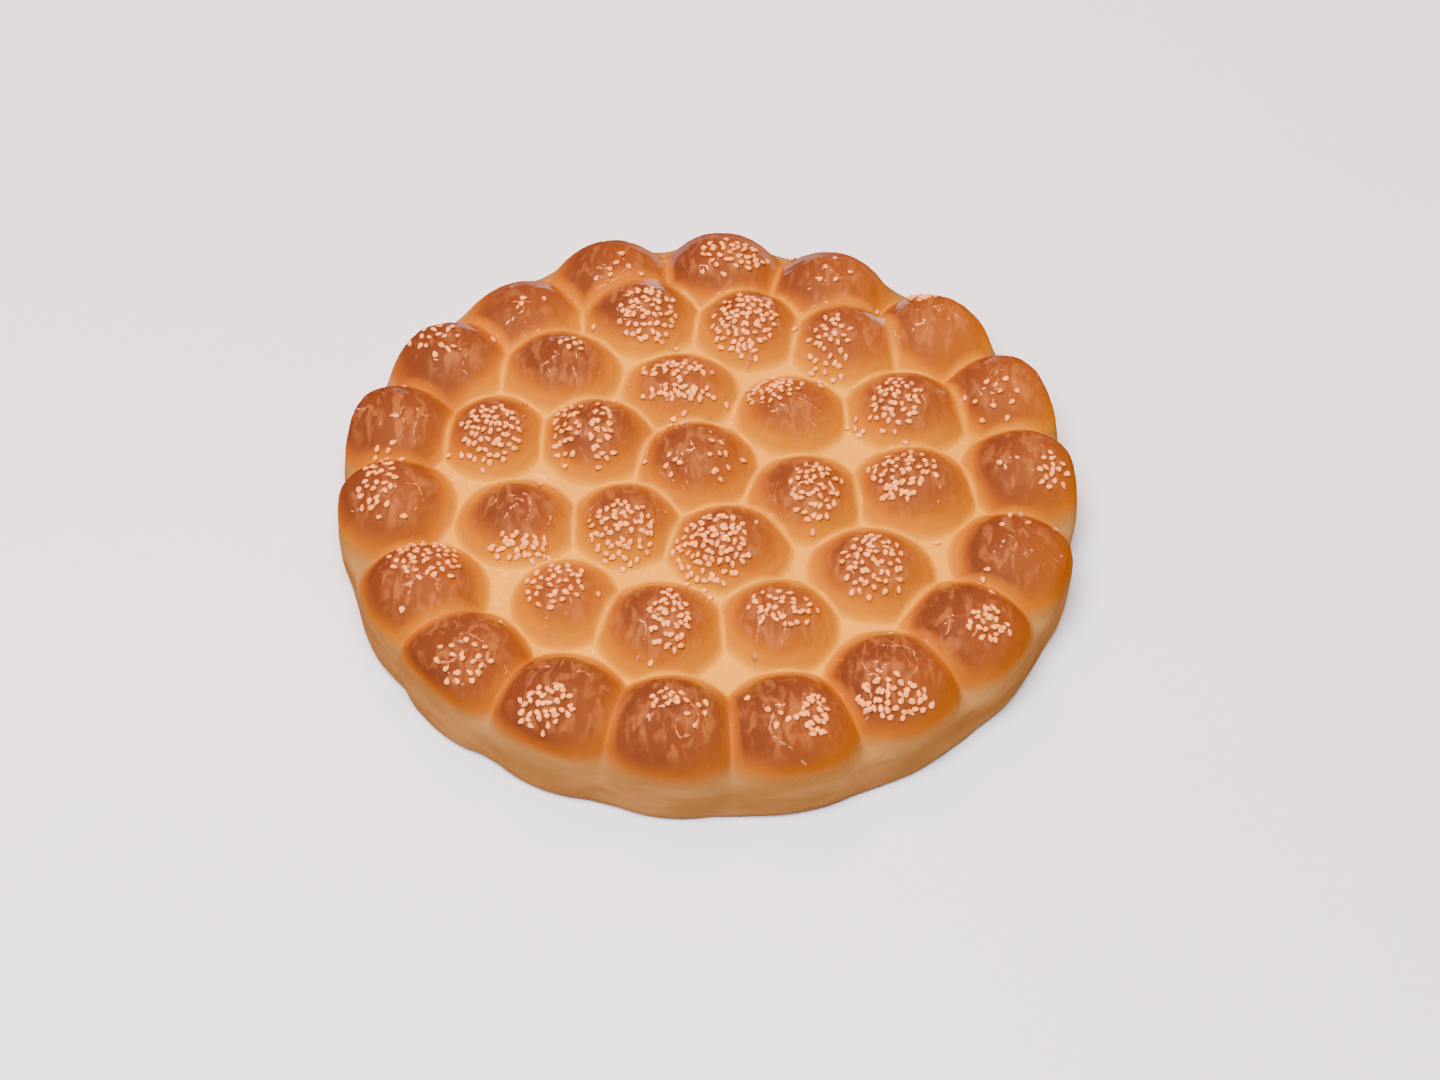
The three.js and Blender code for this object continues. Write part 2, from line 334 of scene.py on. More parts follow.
def polar(turn: Any, reach: Any, z: Any = 0.0) -> np.ndarray:
    """Points from turns clockwise from the back, reaches and heights, one for each row."""
    x, y, z = np.broadcast_arrays(reach * np.sin(turn), reach * np.cos(turn), z)
    return np.stack([x, y, z], axis=-1)


def eased(value: Any, low: float, high: float) -> np.ndarray:
    """A smooth step from 0 to 1 between two values."""
    s = np.clip((np.asarray(value) - low) / (high - low), 0.0, 1.0)
    return s * s * (3.0 - 2.0 * s)


@dataclass(frozen=True)
class Ring:
    """One ring of buns, clockwise seen from above, with its sizes in millimetres.

    A turn is counted in degrees from the back (+Y), on top of an even spacing from start.
    """

    start: float
    turn: tuple[float, ...]
    reach: tuple[float, ...]
    wide: tuple[float, ...]
    deep: tuple[float, ...]
    top: tuple[float, ...]
    bake: tuple[float, ...]


# Half sizes in plan of the balls of the outer ring, in millimetres.
OUTER_HALF = (24,) * 6 + (24.5,) * 3 + (25,) * 3 + (24.5,) * 2 + (24,) * 4


@dataclass(frozen=True)
class Balls:
    """The balls of dough, in millimetres: their middles, half sizes and how dark they have baked."""

    ball_level: float = 16.5
    centre: tuple[float, float] = (-2.0, 2.5)
    rings: tuple[Ring, ...] = (
        Ring(0, (-28,), (6,), (23.5,), (23.5,), (40,), (0.71,)),
        Ring(347, (0, -3, -3, -3, 1, 5), (44, 45, 38, 36, 37, 43), (23, 22, 22.5, 24, 21, 22.5),
             (21.5, 22, 23.5, 23, 22, 23), (38, 38, 39, 39, 38.5, 39),
             (0.68, 0.67, 0.71, 0.72, 0.7, 0.8)),
        Ring(342, (0, -1, -6, -8, -9, -6, -4, -2, -5, -3, 0, 1),
             (85, 78, 87, 82, 76, 75, 75, 75, 78, 71, 79, 75),
             (24, 22, 23, 24, 24, 24, 22.5, 24, 20, 23, 20, 24),
             (23, 22.5, 23, 23, 24, 23.5, 23, 24, 21.5, 22.5, 23, 22.5),
             (38, 38.5, 38.5, 38.5, 39, 39, 38.5, 39.5, 37, 38, 38, 38.5),
             (0.82, 0.7, 0.67, 0.71, 0.72, 0.66, 0.66, 0.7, 0.67, 0.84, 0.75, 0.87)),
        Ring(340, (0, 2, 4, 7, 7, 6, 7, 6, 4, 4, 4, 3, 2, -1, 1, 0, 0, -1),
             (110, 109, 110, 115, 120, 117, 117, 116, 115, 118, 117, 118, 121, 114, 113, 116, 111, 106),
             OUTER_HALF, OUTER_HALF,
             (36, 37.5, 37, 37, 37.5, 38, 38, 38, 39, 39, 39, 39, 38.5, 38.5, 38, 37.5, 36, 34.5),
             (0.78, 0.79, 0.72, 0.63, 0.69, 0.78, 0.81, 0.89, 0.88, 0.88, 0.96, 0.93, 0.89, 0.79,
              0.82, 0.87, 0.89, 0.78)),
    )

    def middles(self, ring: Ring) -> np.ndarray:
        """The middles of a ring's balls.

        Args:
            ring: The ring.

        Returns:
            Their places in metres, one for each row.
        """
        count = len(ring.reach)
        turn = np.radians(ring.start + 360.0 / count * np.arange(count) + np.array(ring.turn))
        level = polar(turn, np.array(ring.reach, float), self.ball_level)
        return (level + [*self.centre, 0.0]) * MM

    def halves(self, ring: Ring) -> np.ndarray:
        """The half sizes in metres of a ring's balls, one for each row."""
        high = np.array(ring.top, float) - self.ball_level
        return np.stack([ring.wide, ring.deep, high], axis=-1) * MM

    def object(self) -> bpy.types.Object:
        """All the balls as one cloud of points that carry their half sizes and bake."""
        return point_mesh(
            "balls of dough",
            np.concatenate([self.middles(ring) for ring in self.rings]),
            half_size=np.concatenate([self.halves(ring) for ring in self.rings]),
            bake=np.concatenate([ring.bake for ring in self.rings]),
        )


@dataclass(frozen=True)
class Pan:
    """The round pan and the crumb, whose sizes the crust and all that lies on it share."""

    radius: float = 135.0 * MM
    seam_depth: float = 2.0 * MM
    ball_level: float = Balls.ball_level * MM
    crumb_top: float = 26.0 * MM
    crumb_rim: float = 22.0 * MM
    rim_from: float = 80.0 * MM
    base_round: float = 3.0 * MM
    spine_radius: float = 116.0 * MM
    shoulder_length: float = 30.0 * MM
    cast_from: float = 60.0 * MM

    def ray(self, bench: ShapeTree, plan: Any) -> tuple[Socket, Socket]:
        """The ray on which a plan point meets the crust: upright, or leaning out at the rim.

        Args:
            bench: The tree that needs the ray.
            plan: The plan point, whose distance from the middle goes on over the shoulder.

        Returns:
            The ray's start inside the loaf and its direction.
        """
        x, y, _ = bench.split(plan)
        flat = bench.combine(x, y, 0.0)
        way = bench.vector("LENGTH", flat)
        outward = bench.vector("NORMALIZE", flat)
        over = bench.larger(bench.minus(way, self.spine_radius), 0.0)
        lean = bench.times(over, math.pi / 2 / self.shoulder_length)
        lean = bench.smaller(lean, math.pi / 2)
        held = bench.scaled(outward, bench.smaller(way, self.spine_radius))
        start = bench.vector("ADD", held, (0.0, 0.0, self.ball_level))
        out = bench.scaled(outward, bench.math("SINE", lean))
        up = bench.combine(0.0, 0.0, bench.math("COSINE", lean))
        return start, bench.vector("ADD", out, up)

    def seat(self, bench: ShapeTree, crust: Any, plan: Any) -> tuple[Socket, Socket]:
        """Where the ray of a plan point meets the crust from outside.

        Args:
            bench: The tree that needs the place.
            crust: The crust's geometry.
            plan: The plan point.

        Returns:
            The place on the crust and the crust's outward direction there.
        """
        start, aim = self.ray(bench, plan)
        cast = bench.add("GeometryNodeRaycast", None, {
            "Target Geometry": crust,
            "Source Position": bench.vector("ADD", start, bench.scaled(aim, self.cast_from)),
            "Ray Direction": bench.scaled(aim, -1.0), "Ray Length": 2.0 * self.cast_from})
        return cast.outputs["Hit Position"], cast.outputs["Hit Normal"]


@dataclass
class Loaf:
    """The crust: buns that run together over the crumb, held by the pan.

    The side starts and is in full where the rays lean out by so many degrees from upright.
    """

    balls: Balls
    pan: Pan
    steps_per_bun: int = 50
    shoulder_rows: int = 18
    side_rows: int = 12
    bun_blend: float = 10.0 * MM
    rim_blend: float = 4.5 * MM
    crumb_blend: float = 12.0 * MM
    pan_blend: float = 8.0 * MM
    rim_starts: float = 92.0 * MM
    side_starts: float = 50.0
    side_full: float = 88.0
    swell: float = 1.2 * MM
    swell_grain: float = 45.0
    wrinkle: float = 0.5 * MM
    wrinkle_grain: Triple = (70.0, 70.0, 420.0)
    glaze: float = 0.7 * MM
    glaze_grain: float = 260.0

    def round_ring(self, ring: int, share: np.ndarray) -> np.ndarray:
        """Plan points at shares of the way round a ring: on its buns, and on arcs between them.

        Args:
            ring: The ring's number.
            share: The shares, from 0 to 1.

        Returns:
            The plan points.
        """
        middles = self.balls.middles(self.balls.rings[ring])[:, :2]
        count = len(middles)
        if count == 1:
            return np.repeat(middles, len(share), axis=0)
        k = np.floor(share * count).astype(int)
        t = share * count - k
        turn = np.arctan2(middles[:, 0], middles[:, 1])
        reach = np.hypot(middles[:, 0], middles[:, 1])
        here, following = k % count, (k + 1) % count
        swing = turn[following] - turn[here]
        swing -= math.tau * np.round(swing / math.tau)
        outermost = ring == len(self.balls.rings) - 1
        between = reach[here] + (reach[following] - reach[here]) * t
        way = self.pan.spine_radius if outermost else between
        return polar(turn[here] + swing * t, way)[:, :2]

    def circle(self, number: int) -> np.ndarray:
        """The plan points of one circle of the lattice, six more than on the circle within it.

        Args:
            number: The circle's number, 0 in the middle.

        Returns:
            The plan points.
        """
        share = np.arange(max(6 * number, 1)) / max(6 * number, 1)
        inner = min(number // self.steps_per_bun, len(self.balls.rings) - 2)
        t = number / self.steps_per_bun - inner
        return self.round_ring(inner, share) * (1 - t) + self.round_ring(inner + 1, share) * t

    @staticmethod
    def rays(start: np.ndarray, aim: Any, *shares: Any) -> dict[str, np.ndarray]:
        """A set of rays as named rows.

        Args:
            start: Where each ray starts.
            aim: Where each one aims, or all of them.
            *shares: Their crumb, pan, rim and side, each a row or one number for all.

        Returns:
            The rows by name.
        """
        rows = {"start": start, "aim": np.broadcast_to(aim, start.shape)}
        for name, share in zip(("crumb", "pan", "rim", "side"), shares):
            rows[name] = np.broadcast_to(share, len(start))
        return rows

    def top_rays(self, circles: int) -> dict[str, np.ndarray]:
        """The rays of the lattice over the top.

        Args:
            circles: How many circles the lattice has.

        Returns:
            For each ray its start, aim, crumb, pan and shares of the rim and the side.
        """
        plan = np.concatenate([self.circle(number) for number in range(circles + 1)])
        pan = self.pan
        reach = np.hypot(plan[:, 0], plan[:, 1])
        fall = eased(reach, pan.rim_from, pan.spine_radius)
        crumb = pan.crumb_top + (pan.crumb_rim - pan.crumb_top) * fall - pan.ball_level
        start = np.column_stack([plan, np.full(len(plan), pan.ball_level)])
        rim = eased(reach, self.rim_starts, pan.spine_radius)
        return self.rays(start, (0.0, 0.0, 1.0), crumb, 1.0, rim, 0.0)

    def shoulder_rays(self, turns: np.ndarray, lean: float) -> dict[str, np.ndarray]:
        """The rays of one row down the shoulder.

        Args:
            turns: The turns of the rays.
            lean: How far they lean out from upright.

        Returns:
            For each ray its start, aim, crumb, pan and shares of the rim and the side.
        """
        pan = self.pan
        out, up = math.sin(lean), math.cos(lean)
        crumb_out = pan.radius - pan.seam_depth - pan.spine_radius
        crumb_up = pan.crumb_rim - pan.ball_level
        crumb = 1.0 / math.hypot(out / crumb_out, up / crumb_up)
        wall = (pan.radius - pan.spine_radius) / out
        side = eased(lean, math.radians(self.side_starts), math.radians(self.side_full))
        start = polar(turns, pan.spine_radius, pan.ball_level)
        return self.rays(start, polar(turns, out, up), crumb, wall, 1.0, side)

    def side_rays(self, turns: np.ndarray, level: float) -> dict[str, np.ndarray]:
        """The rays of one row down the side, drawn in where the bottom edge is round.

        Args:
            turns: The turns of the rays.
            level: The row's height.

        Returns:
            For each ray its start, aim, crumb, pan and shares of the rim and the side.
        """
        pan = self.pan
        below = max(pan.base_round - level, 0.0)
        drawn_in = pan.base_round - math.sqrt(pan.base_round ** 2 - below ** 2)
        out = pan.radius - pan.spine_radius - drawn_in
        start = polar(turns, pan.spine_radius, level)
        return self.rays(start, polar(turns, 1.0), out - pan.seam_depth, out, 1.0, 1.0)

    def faces(self, circles: int, rows: int) -> list[tuple[int, ...]]:
        """The faces over the lattice, down the rows of the side and across the base.

        Args:
            circles: How many circles the lattice has.
            rows: How many rows lie below it.

        Returns:
            The faces by point number.
        """
        made: list[tuple[int, ...]] = []
        for circle in range(1, circles + 1):
            outer_first = 3 * circle * (circle - 1) + 1
            inner_first = 3 * (circle - 1) * (circle - 2) + 1 if circle > 1 else 0
            around, inside = 6 * circle, max(6 * (circle - 1), 1)
            for sixth in range(6):
                for step in range(circle):
                    out, back = sixth * circle + step, sixth * (circle - 1) + step
                    here = outer_first + out % around
                    following = outer_first + (out + 1) % around
                    within = inner_first + back % inside
                    made.append((here, within, following))
                    if step < circle - 1:
                        made.append((within, inner_first + (back + 1) % inside, following))
        around = 6 * circles
        first = 3 * circles * (circles - 1) + 1
        for row in range(rows):
            here, below = first + row * around, first + (row + 1) * around
            for k in range(around):
                n = (k + 1) % around
                made.append((here + k, here + n, below + n, below + k))
        last, middle = first + rows * around, first + (rows + 1) * around
        made.extend((last + k, last + (k + 1) % around, middle) for k in range(around))
        return made

    def lattice(self) -> bpy.types.Object:
        """The lattice of rays that the rule shapes: each point is a ray's start.

        Returns:
            The object that holds it.
        """
        circles = self.steps_per_bun * (len(self.balls.rings) - 1)
        rim = self.circle(circles)
        turns = np.arctan2(rim[:, 0], rim[:, 1])
        rows = [self.top_rays(circles)]
        for row in range(1, self.shoulder_rows + 1):
            rows.append(self.shoulder_rays(turns, math.pi / 2 * row / self.shoulder_rows))
        for row in range(1, self.side_rows + 1):
            swing = math.pi / 2 * row / self.side_rows
            rows.append(self.side_rays(turns, self.pan.ball_level * (1 - math.sin(swing))))
        rows.append(self.rays(np.zeros((1, 3)), 0.0, 0.0, 0.0, 1.0, 1.0))
        rays = {key: np.concatenate([row[key] for row in rows]) for key in rows[0]}
        start = rays.pop("start")
        return point_mesh("lattice of rays", start,
                          self.faces(circles, self.shoulder_rows + self.side_rows), **rays)

    def dough_loop(self, bench: ShapeTree, balls: bpy.types.Object) -> Socket:
        """Runs the balls together one by one along every ray, and notes which one leads.

        Args:
            bench: The crust's tree.
            balls: The cloud of balls.

        Returns:
            The geometry, with the dough's way out, the two longest ways and the leading ball.
        """
        cloud = bench.shape("Balls", balls)
        count = bench.given("Ball Count", "Int", sum(len(r.reach) for r in self.balls.rings))
        blends = bench.sizes(self, "bun_blend", "rim_blend")
        blend = bench.ease(bench.attribute("rim"), 0.0, 1.0, *blends)
        enter = bench.tree.nodes.new("GeometryNodeRepeatInput")
        leave = bench.tree.nodes.new("GeometryNodeRepeatOutput")
        enter.pair_with_output(leave)
        bench.feed(enter.inputs["Iterations"], count)
        geometry = bench.start.outputs[0]
        for name in ("dough", "lead", "second"):
            geometry = bench.stored(geometry, name, -1.0)
        bench.feed(enter.inputs["Geometry"], geometry)
        number = enter.outputs["Iteration"]
        place = bench.position()
        middle = bench.picked(cloud, place, number, "FLOAT_VECTOR")
        half_size = bench.attribute("half_size", "FLOAT_VECTOR")
        half = bench.picked(cloud, half_size, number, "FLOAT_VECTOR")
        bake = bench.picked(cloud, bench.attribute("bake"), number, "FLOAT")
        away = bench.vector("DIVIDE", bench.vector("SUBTRACT", place, middle), half)
        along = bench.vector("DIVIDE", bench.attribute("aim", "FLOAT_VECTOR"), half)
        a = bench.larger(bench.vector("DOT_PRODUCT", along, along), 1e-6)
        b = bench.vector("DOT_PRODUCT", away, along)
        c = bench.minus(bench.vector("DOT_PRODUCT", away, away), 1.0)
        inside = bench.minus(bench.times(b, b), bench.times(a, c))
        root = bench.math("SQRT", bench.larger(inside, 0.0))
        way = bench.over(bench.minus(root, b), a)
        lead, second = bench.attribute("lead"), bench.attribute("second")
        leads = bench.greater(way, lead)
        geometry = enter.outputs["Geometry"]
        runner_up = bench.larger(second, bench.smaller(lead, way))
        geometry = bench.stored(geometry, "second", runner_up)
        held_bake = bench.chosen(leads, bench.attribute("tone"), bake, "FLOAT")
        geometry = bench.stored(geometry, "tone", held_bake)
        held_middle = bench.chosen(leads, bench.attribute("middle", "FLOAT_VECTOR"), middle, "VECTOR")
        geometry = bench.stored(geometry, "middle", held_middle, "FLOAT_VECTOR")
        geometry = bench.stored(geometry, "lead", bench.larger(lead, way))
        dough = bench.math("SMOOTH_MAX", bench.attribute("dough"), way, blend)
        geometry = bench.stored(geometry, "dough", dough)
        bench.feed(leave.inputs["Geometry"], geometry)
        return leave.outputs["Geometry"]

    def crust_tree(self, balls: bpy.types.Object, finish: bpy.types.Material) -> ShapeTree:
        """The tree that shapes the crust on the lattice of rays.

        Args:
            balls: The cloud of balls.
            finish: The crust's material.

        Returns:
            The tree.
        """
        bench = ShapeTree("crust over buns")
        geometry = self.dough_loop(bench, balls)
        crumb_blend, pan_blend = bench.sizes(self, "crumb_blend", "pan_blend")
        swell, wrinkle, glaze = bench.sizes(self, "swell", "wrinkle", "glaze")
        aim = bench.attribute("aim", "FLOAT_VECTOR")
        crumb = bench.attribute("crumb")
        free = bench.math("SMOOTH_MAX", bench.attribute("dough"), crumb, crumb_blend)
        held = bench.math("SMOOTH_MIN", free, bench.attribute("pan"), pan_blend)
        rise = bench.over(bench.minus(held, crumb), MM)
        lead_by = bench.minus(bench.attribute("lead"), bench.attribute("second"))
        geometry = bench.stored(geometry, "rise", rise)
        geometry = bench.stored(geometry, "seam", bench.over(lead_by, MM))
        skin = bench.vector("ADD", bench.position(), bench.scaled(aim, held))
        bulge = bench.minus(bench.noise(skin, self.swell_grain, 1.0), 0.5)
        streaked = bench.vector("MULTIPLY", skin, self.wrinkle_grain)
        crease = bench.minus(bench.noise(streaked, 1.0, 2.0), 0.5)
        crease = bench.times(crease, bench.attribute("side"))
        waves = bench.minus(bench.noise(skin, self.glaze_grain, 1.0, 0.4, 0.6), 0.5)
        waves = bench.times(waves, bench.minus(1.0, bench.attribute("side")))
        uneven = bench.plus(bench.times(bulge, swell), bench.times(crease, wrinkle))
        uneven = bench.math("MULTIPLY_ADD", waves, glaze, uneven)
        skin = bench.vector("ADD", skin, bench.scaled(aim, uneven))
        dome = bench.vector("SUBTRACT", skin, bench.attribute("middle", "FLOAT_VECTOR"))
        geometry = bench.stored(geometry, "dome", dome, "FLOAT_VECTOR")
        geometry = bench.moved(geometry, skin)
        for name in ("dough", "lead", "second", "middle", "aim", "crumb", "pan"):
            removed = bench.add("GeometryNodeRemoveAttribute", None,
                                {"Geometry": geometry, "Name": name})
            geometry = removed.outputs[0]
        bench.finished(geometry, finish)
        return bench

    def build(self, finish: bpy.types.Material) -> bpy.types.Object:
        """Builds the crust.

        Args:
            finish: The crust's material.

        Returns:
            The crust.
        """
        balls = self.balls.object()
        crust = self.crust_tree(balls, finish).grown(self.lattice(), Piece.CRUST)
        bpy.data.objects.remove(balls)
        return crust


@dataclass(frozen=True)
class Patch:
    """An oval patch of sesame on a bun, in millimetres from the bun's middle."""

    ring: int
    bun: int
    east: float
    north: float
    wide: float
    deep: float
    count: int


@dataclass
class Sesame:
    """The sesame: seeds that lie in patches on the domes, and a few strays.

    Each random draw, of a seed's shake, lie, size and tone, has a fixed number that starts it.
    Angles are in radians.
    """

    balls: Balls
    pan: Pan
    length: float = 2.9 * MM
    width: float = 2.1 * MM
    height: float = 1.5 * MM
    taper: float = 0.35
    sides: int = 8
    rounds: int = 6
    lift: float = 0.36 * MM
    tilt: float = 0.3
    smallest: Triple = (0.85, 0.85, 0.85)
    largest: Triple = (1.12, 1.15, 1.15)
    jitter: float = 1.05 * MM
    golden_turn: float = math.pi * (3 - math.sqrt(5))
    strays: int = 40
    stray_reach: float = 128.0 * MM
    stray_turn: float = 0.5
    shake_draw: int = 3
    lie_draw: int = 5
    size_draw: int = 7
    tone_draw: int = 9
    sprinkled: tuple[Patch, ...] = (
        Patch(0, 0, -7, 19, 4, 6, 6), Patch(0, 0, -8, -7, 4, 4, 5), Patch(0, 0, 8, -6, 4, 10, 9),
        Patch(1, 0, -2, 3, 14, 4, 29), Patch(1, 0, 0, -8, 13, 3, 34), Patch(1, 1, -7, 6, 10, 8, 34),
        Patch(1, 2, 3, -4, 9, 14, 47), Patch(1, 3, -6, -6, 13, 14, 94), Patch(1, 4, -1, -9, 12, 12, 60),
        Patch(1, 5, -11, -1, 6, 14, 29), Patch(1, 5, 2, -4, 5, 14, 29), Patch(2, 0, 3, -5, 11, 13, 55),
        Patch(2, 1, -2, -4, 12, 13, 72), Patch(2, 1, 0, -15, 5, 3, 5), Patch(2, 2, -6, -8, 8, 14, 36),
        Patch(2, 3, -4, -3, 9, 12, 42), Patch(2, 3, -17, -10, 4, 5, 6), Patch(2, 4, -4, 2, 13, 9, 39),
        Patch(2, 4, -6, -8, 6, 4, 18), Patch(2, 5, 0, -3, 11, 13, 55), Patch(2, 6, 1, 0, 12, 8, 34),
        Patch(2, 7, 3, -3, 7, 13, 42), Patch(2, 8, -4, 2, 11, 11, 34), Patch(2, 9, 2, -15, 11, 4, 34),
        Patch(2, 10, -1, -5, 11, 13, 62), Patch(2, 11, 4, 5, 6, 4, 7), Patch(3, 0, 4, -4, 11, 3, 5),
        Patch(3, 1, 4, 0, 13, 7, 39), Patch(3, 2, 1, 1, 7, 10, 5), Patch(3, 3, -4, 14, 4, 5, 16),
        Patch(3, 4, -5, -9, 11, 9, 9), Patch(3, 5, 9, -6, 6, 7, 16), Patch(3, 6, 1, 13, 7, 7, 5),
        Patch(3, 6, -11, -12, 2, 2, 2), Patch(3, 7, 7, -4, 7, 7, 26), Patch(3, 8, 0, -13, 13, 7, 46),
        Patch(3, 9, 8, -3, 5, 8, 26), Patch(3, 9, -3, -6, 6, 5, 5), Patch(3, 10, -1, 4, 6, 5, 13),
        Patch(3, 10, 8, 0, 6, 6, 6), Patch(3, 11, -4, -7, 10, 7, 36), Patch(3, 12, 2, -7, 9, 8, 20),
        Patch(3, 13, 1, 8, 13, 12, 46), Patch(3, 14, -5, 1, 6, 14, 29), Patch(3, 15, -2, -17, 7, 4, 6),
        Patch(3, 16, -6, 5, 10, 10, 16), Patch(3, 17, 0, 2, 8, 3, 3),
    )

    def patches(self) -> bpy.types.Object:
        """The patches as points that carry their spread, their seeds and their first turn.

        Returns:
            The object that holds them.
        """
        middles = [self.balls.middles(ring) for ring in self.balls.rings]
        places, spread, count, swing = [], [], [], []
        for number, patch in enumerate(self.sprinkled):
            middle = middles[patch.ring][patch.bun]
            places.append([middle[0] + patch.east * MM, middle[1] + patch.north * MM, 0.0])
            spread.append([patch.wide * MM, patch.deep * MM, 0.0])
            count.append(patch.count)
            swing.append(float(number))
        places.append([0.0, 0.0, 0.0])
        spread.append([self.stray_reach, self.stray_reach, 0.0])
        count.append(self.strays)
        swing.append(self.stray_turn)
        return point_mesh("patches of sesame", np.array(places), spread=np.array(spread),
                          count=np.array(count), swing=np.array(swing))

    def seed(self) -> bpy.types.Object:
        """One seed along X: a flat drop, pointed at its far end.

        Returns:
            The object that holds its mesh.
        """
        points = [[-1.0, 0.0, 0.0]]
        for round_ in range(1, self.rounds):
            along = -math.cos(math.pi * round_ / self.rounds)
            girth = math.sin(math.pi * round_ / self.rounds)
            for side in range(self.sides):
                swing = math.tau * side / self.sides
                points.append([along, girth * math.cos(swing), girth * math.sin(swing)])
        points.append([1.0, 0.0, 0.0])
        shape = np.array(points)
        shape[:, 1:] *= 1.0 - self.taper * shape[:, :1]
        shape *= np.array([self.length, self.width, self.height]) / 2
        last = len(points) - 1
        faces: list[tuple[int, ...]] = []
        for side in range(self.sides):
            following = (side + 1) % self.sides
            faces.append((0, 1 + following, 1 + side))
            for round_ in range(self.rounds - 2):
                here, ahead = 1 + round_ * self.sides, 1 + (round_ + 1) * self.sides
                faces.append((here + side, here + following, ahead + following, ahead + side))
            tip = 1 + (self.rounds - 2) * self.sides
            faces.append((last, tip + side, tip + following))
        return point_mesh("one sesame seed", shape, faces, crown=2.0 * shape[:, 2] / self.height)

    def sprinkling(self, bench: ShapeTree) -> tuple[Socket, Socket]:
        """Fills each patch from its middle outwards in a shaken spiral.

        Args:
            bench: The seeds' tree.

        Returns:
            The points and each point's own number.
        """
        count = bench.attribute("count")
        copies = bench.add("GeometryNodeDuplicateElements", {"domain": "POINT"},
                           {"Geometry": bench.start.outputs[0], "Amount": count})
        number = copies.outputs["Duplicate Index"]
        turn = bench.math("MULTIPLY_ADD", number, self.golden_turn, bench.attribute("swing"))
        share = bench.math("SQRT", bench.over(bench.plus(number, 0.5), count))
        way = bench.combine(bench.math("COSINE", turn), bench.math("SINE", turn), 0.0)
        spread = bench.attribute("spread", "FLOAT_VECTOR")
        way = bench.vector("MULTIPLY", bench.scaled(way, share), spread)
        own = bench.add("GeometryNodeInputIndex").outputs[0]
        least, most = (-self.jitter,) * 3, (self.jitter,) * 3
        shake = bench.drawn(least, most, own, self.shake_draw, "FLOAT_VECTOR")
        return bench.moved(copies.outputs[0], bench.vector("ADD", way, shake), "Offset"), own

    def build(self, crust: bpy.types.Object, finish: bpy.types.Material) -> bpy.types.Object:
        """Builds all the seeds as one piece.

        Args:
            crust: What they lie on.
            finish: Their material.

        Returns:
            The seeds.
        """
        bench = ShapeTree("sesame over domes")
        ground = bench.shape("Crust", crust)
        pattern = self.seed()
        seed = bench.shape("Seed", pattern)
        lift = bench.given("Lift", "Float", self.lift)
        points, own = self.sprinkling(bench)
        hit, outward = self.pan.seat(bench, ground, bench.position())
        points = bench.stored(points, "outward", outward, "FLOAT_VECTOR")
        points = bench.moved(points, bench.vector("ADD", hit, bench.scaled(outward, lift)))
        cloud = bench.add("GeometryNodeMeshToPoints", None, {"Mesh": points}).outputs[0]
        lie = bench.add("FunctionNodeAlignRotationToVector", {"axis": "Z"},
                        {"Vector": bench.attribute("outward", "FLOAT_VECTOR")}).outputs[0]
        least, most = (-self.tilt, -self.tilt, -math.pi), (self.tilt, self.tilt, math.pi)
        spin = bench.drawn(least, most, own, self.lie_draw, "FLOAT_VECTOR")
        spin = bench.add("FunctionNodeEulerToRotation", None, {0: spin}).outputs[0]
        lie = bench.add("FunctionNodeRotateRotation", {"rotation_space": "LOCAL"},
                        {"Rotation": lie, "Rotate By": spin}).outputs[0]
        size = bench.drawn(self.smallest, self.largest, own, self.size_draw, "FLOAT_VECTOR")
        scattered = bench.add("GeometryNodeInstanceOnPoints", None, {
            "Points": cloud, "Instance": seed, "Rotation": lie, "Scale": size}).outputs[0]
        tone = bench.drawn(0.0, 1.0, own, self.tone_draw)
        scattered = bench.stored(scattered, "tone", tone, domain="INSTANCE")
        bench.finished(scattered, finish)
        seeds = bench.grown(self.patches(), Piece.SESAME)
        bpy.data.objects.remove(pattern)
        return seeds


@dataclass(frozen=True)
class Thread:
    """A thread of syrup on a bun: its places in millimetres from the bun's middle, and width."""

    ring: int
    bun: int
    width: float
    places: tuple[tuple[float, float], ...]


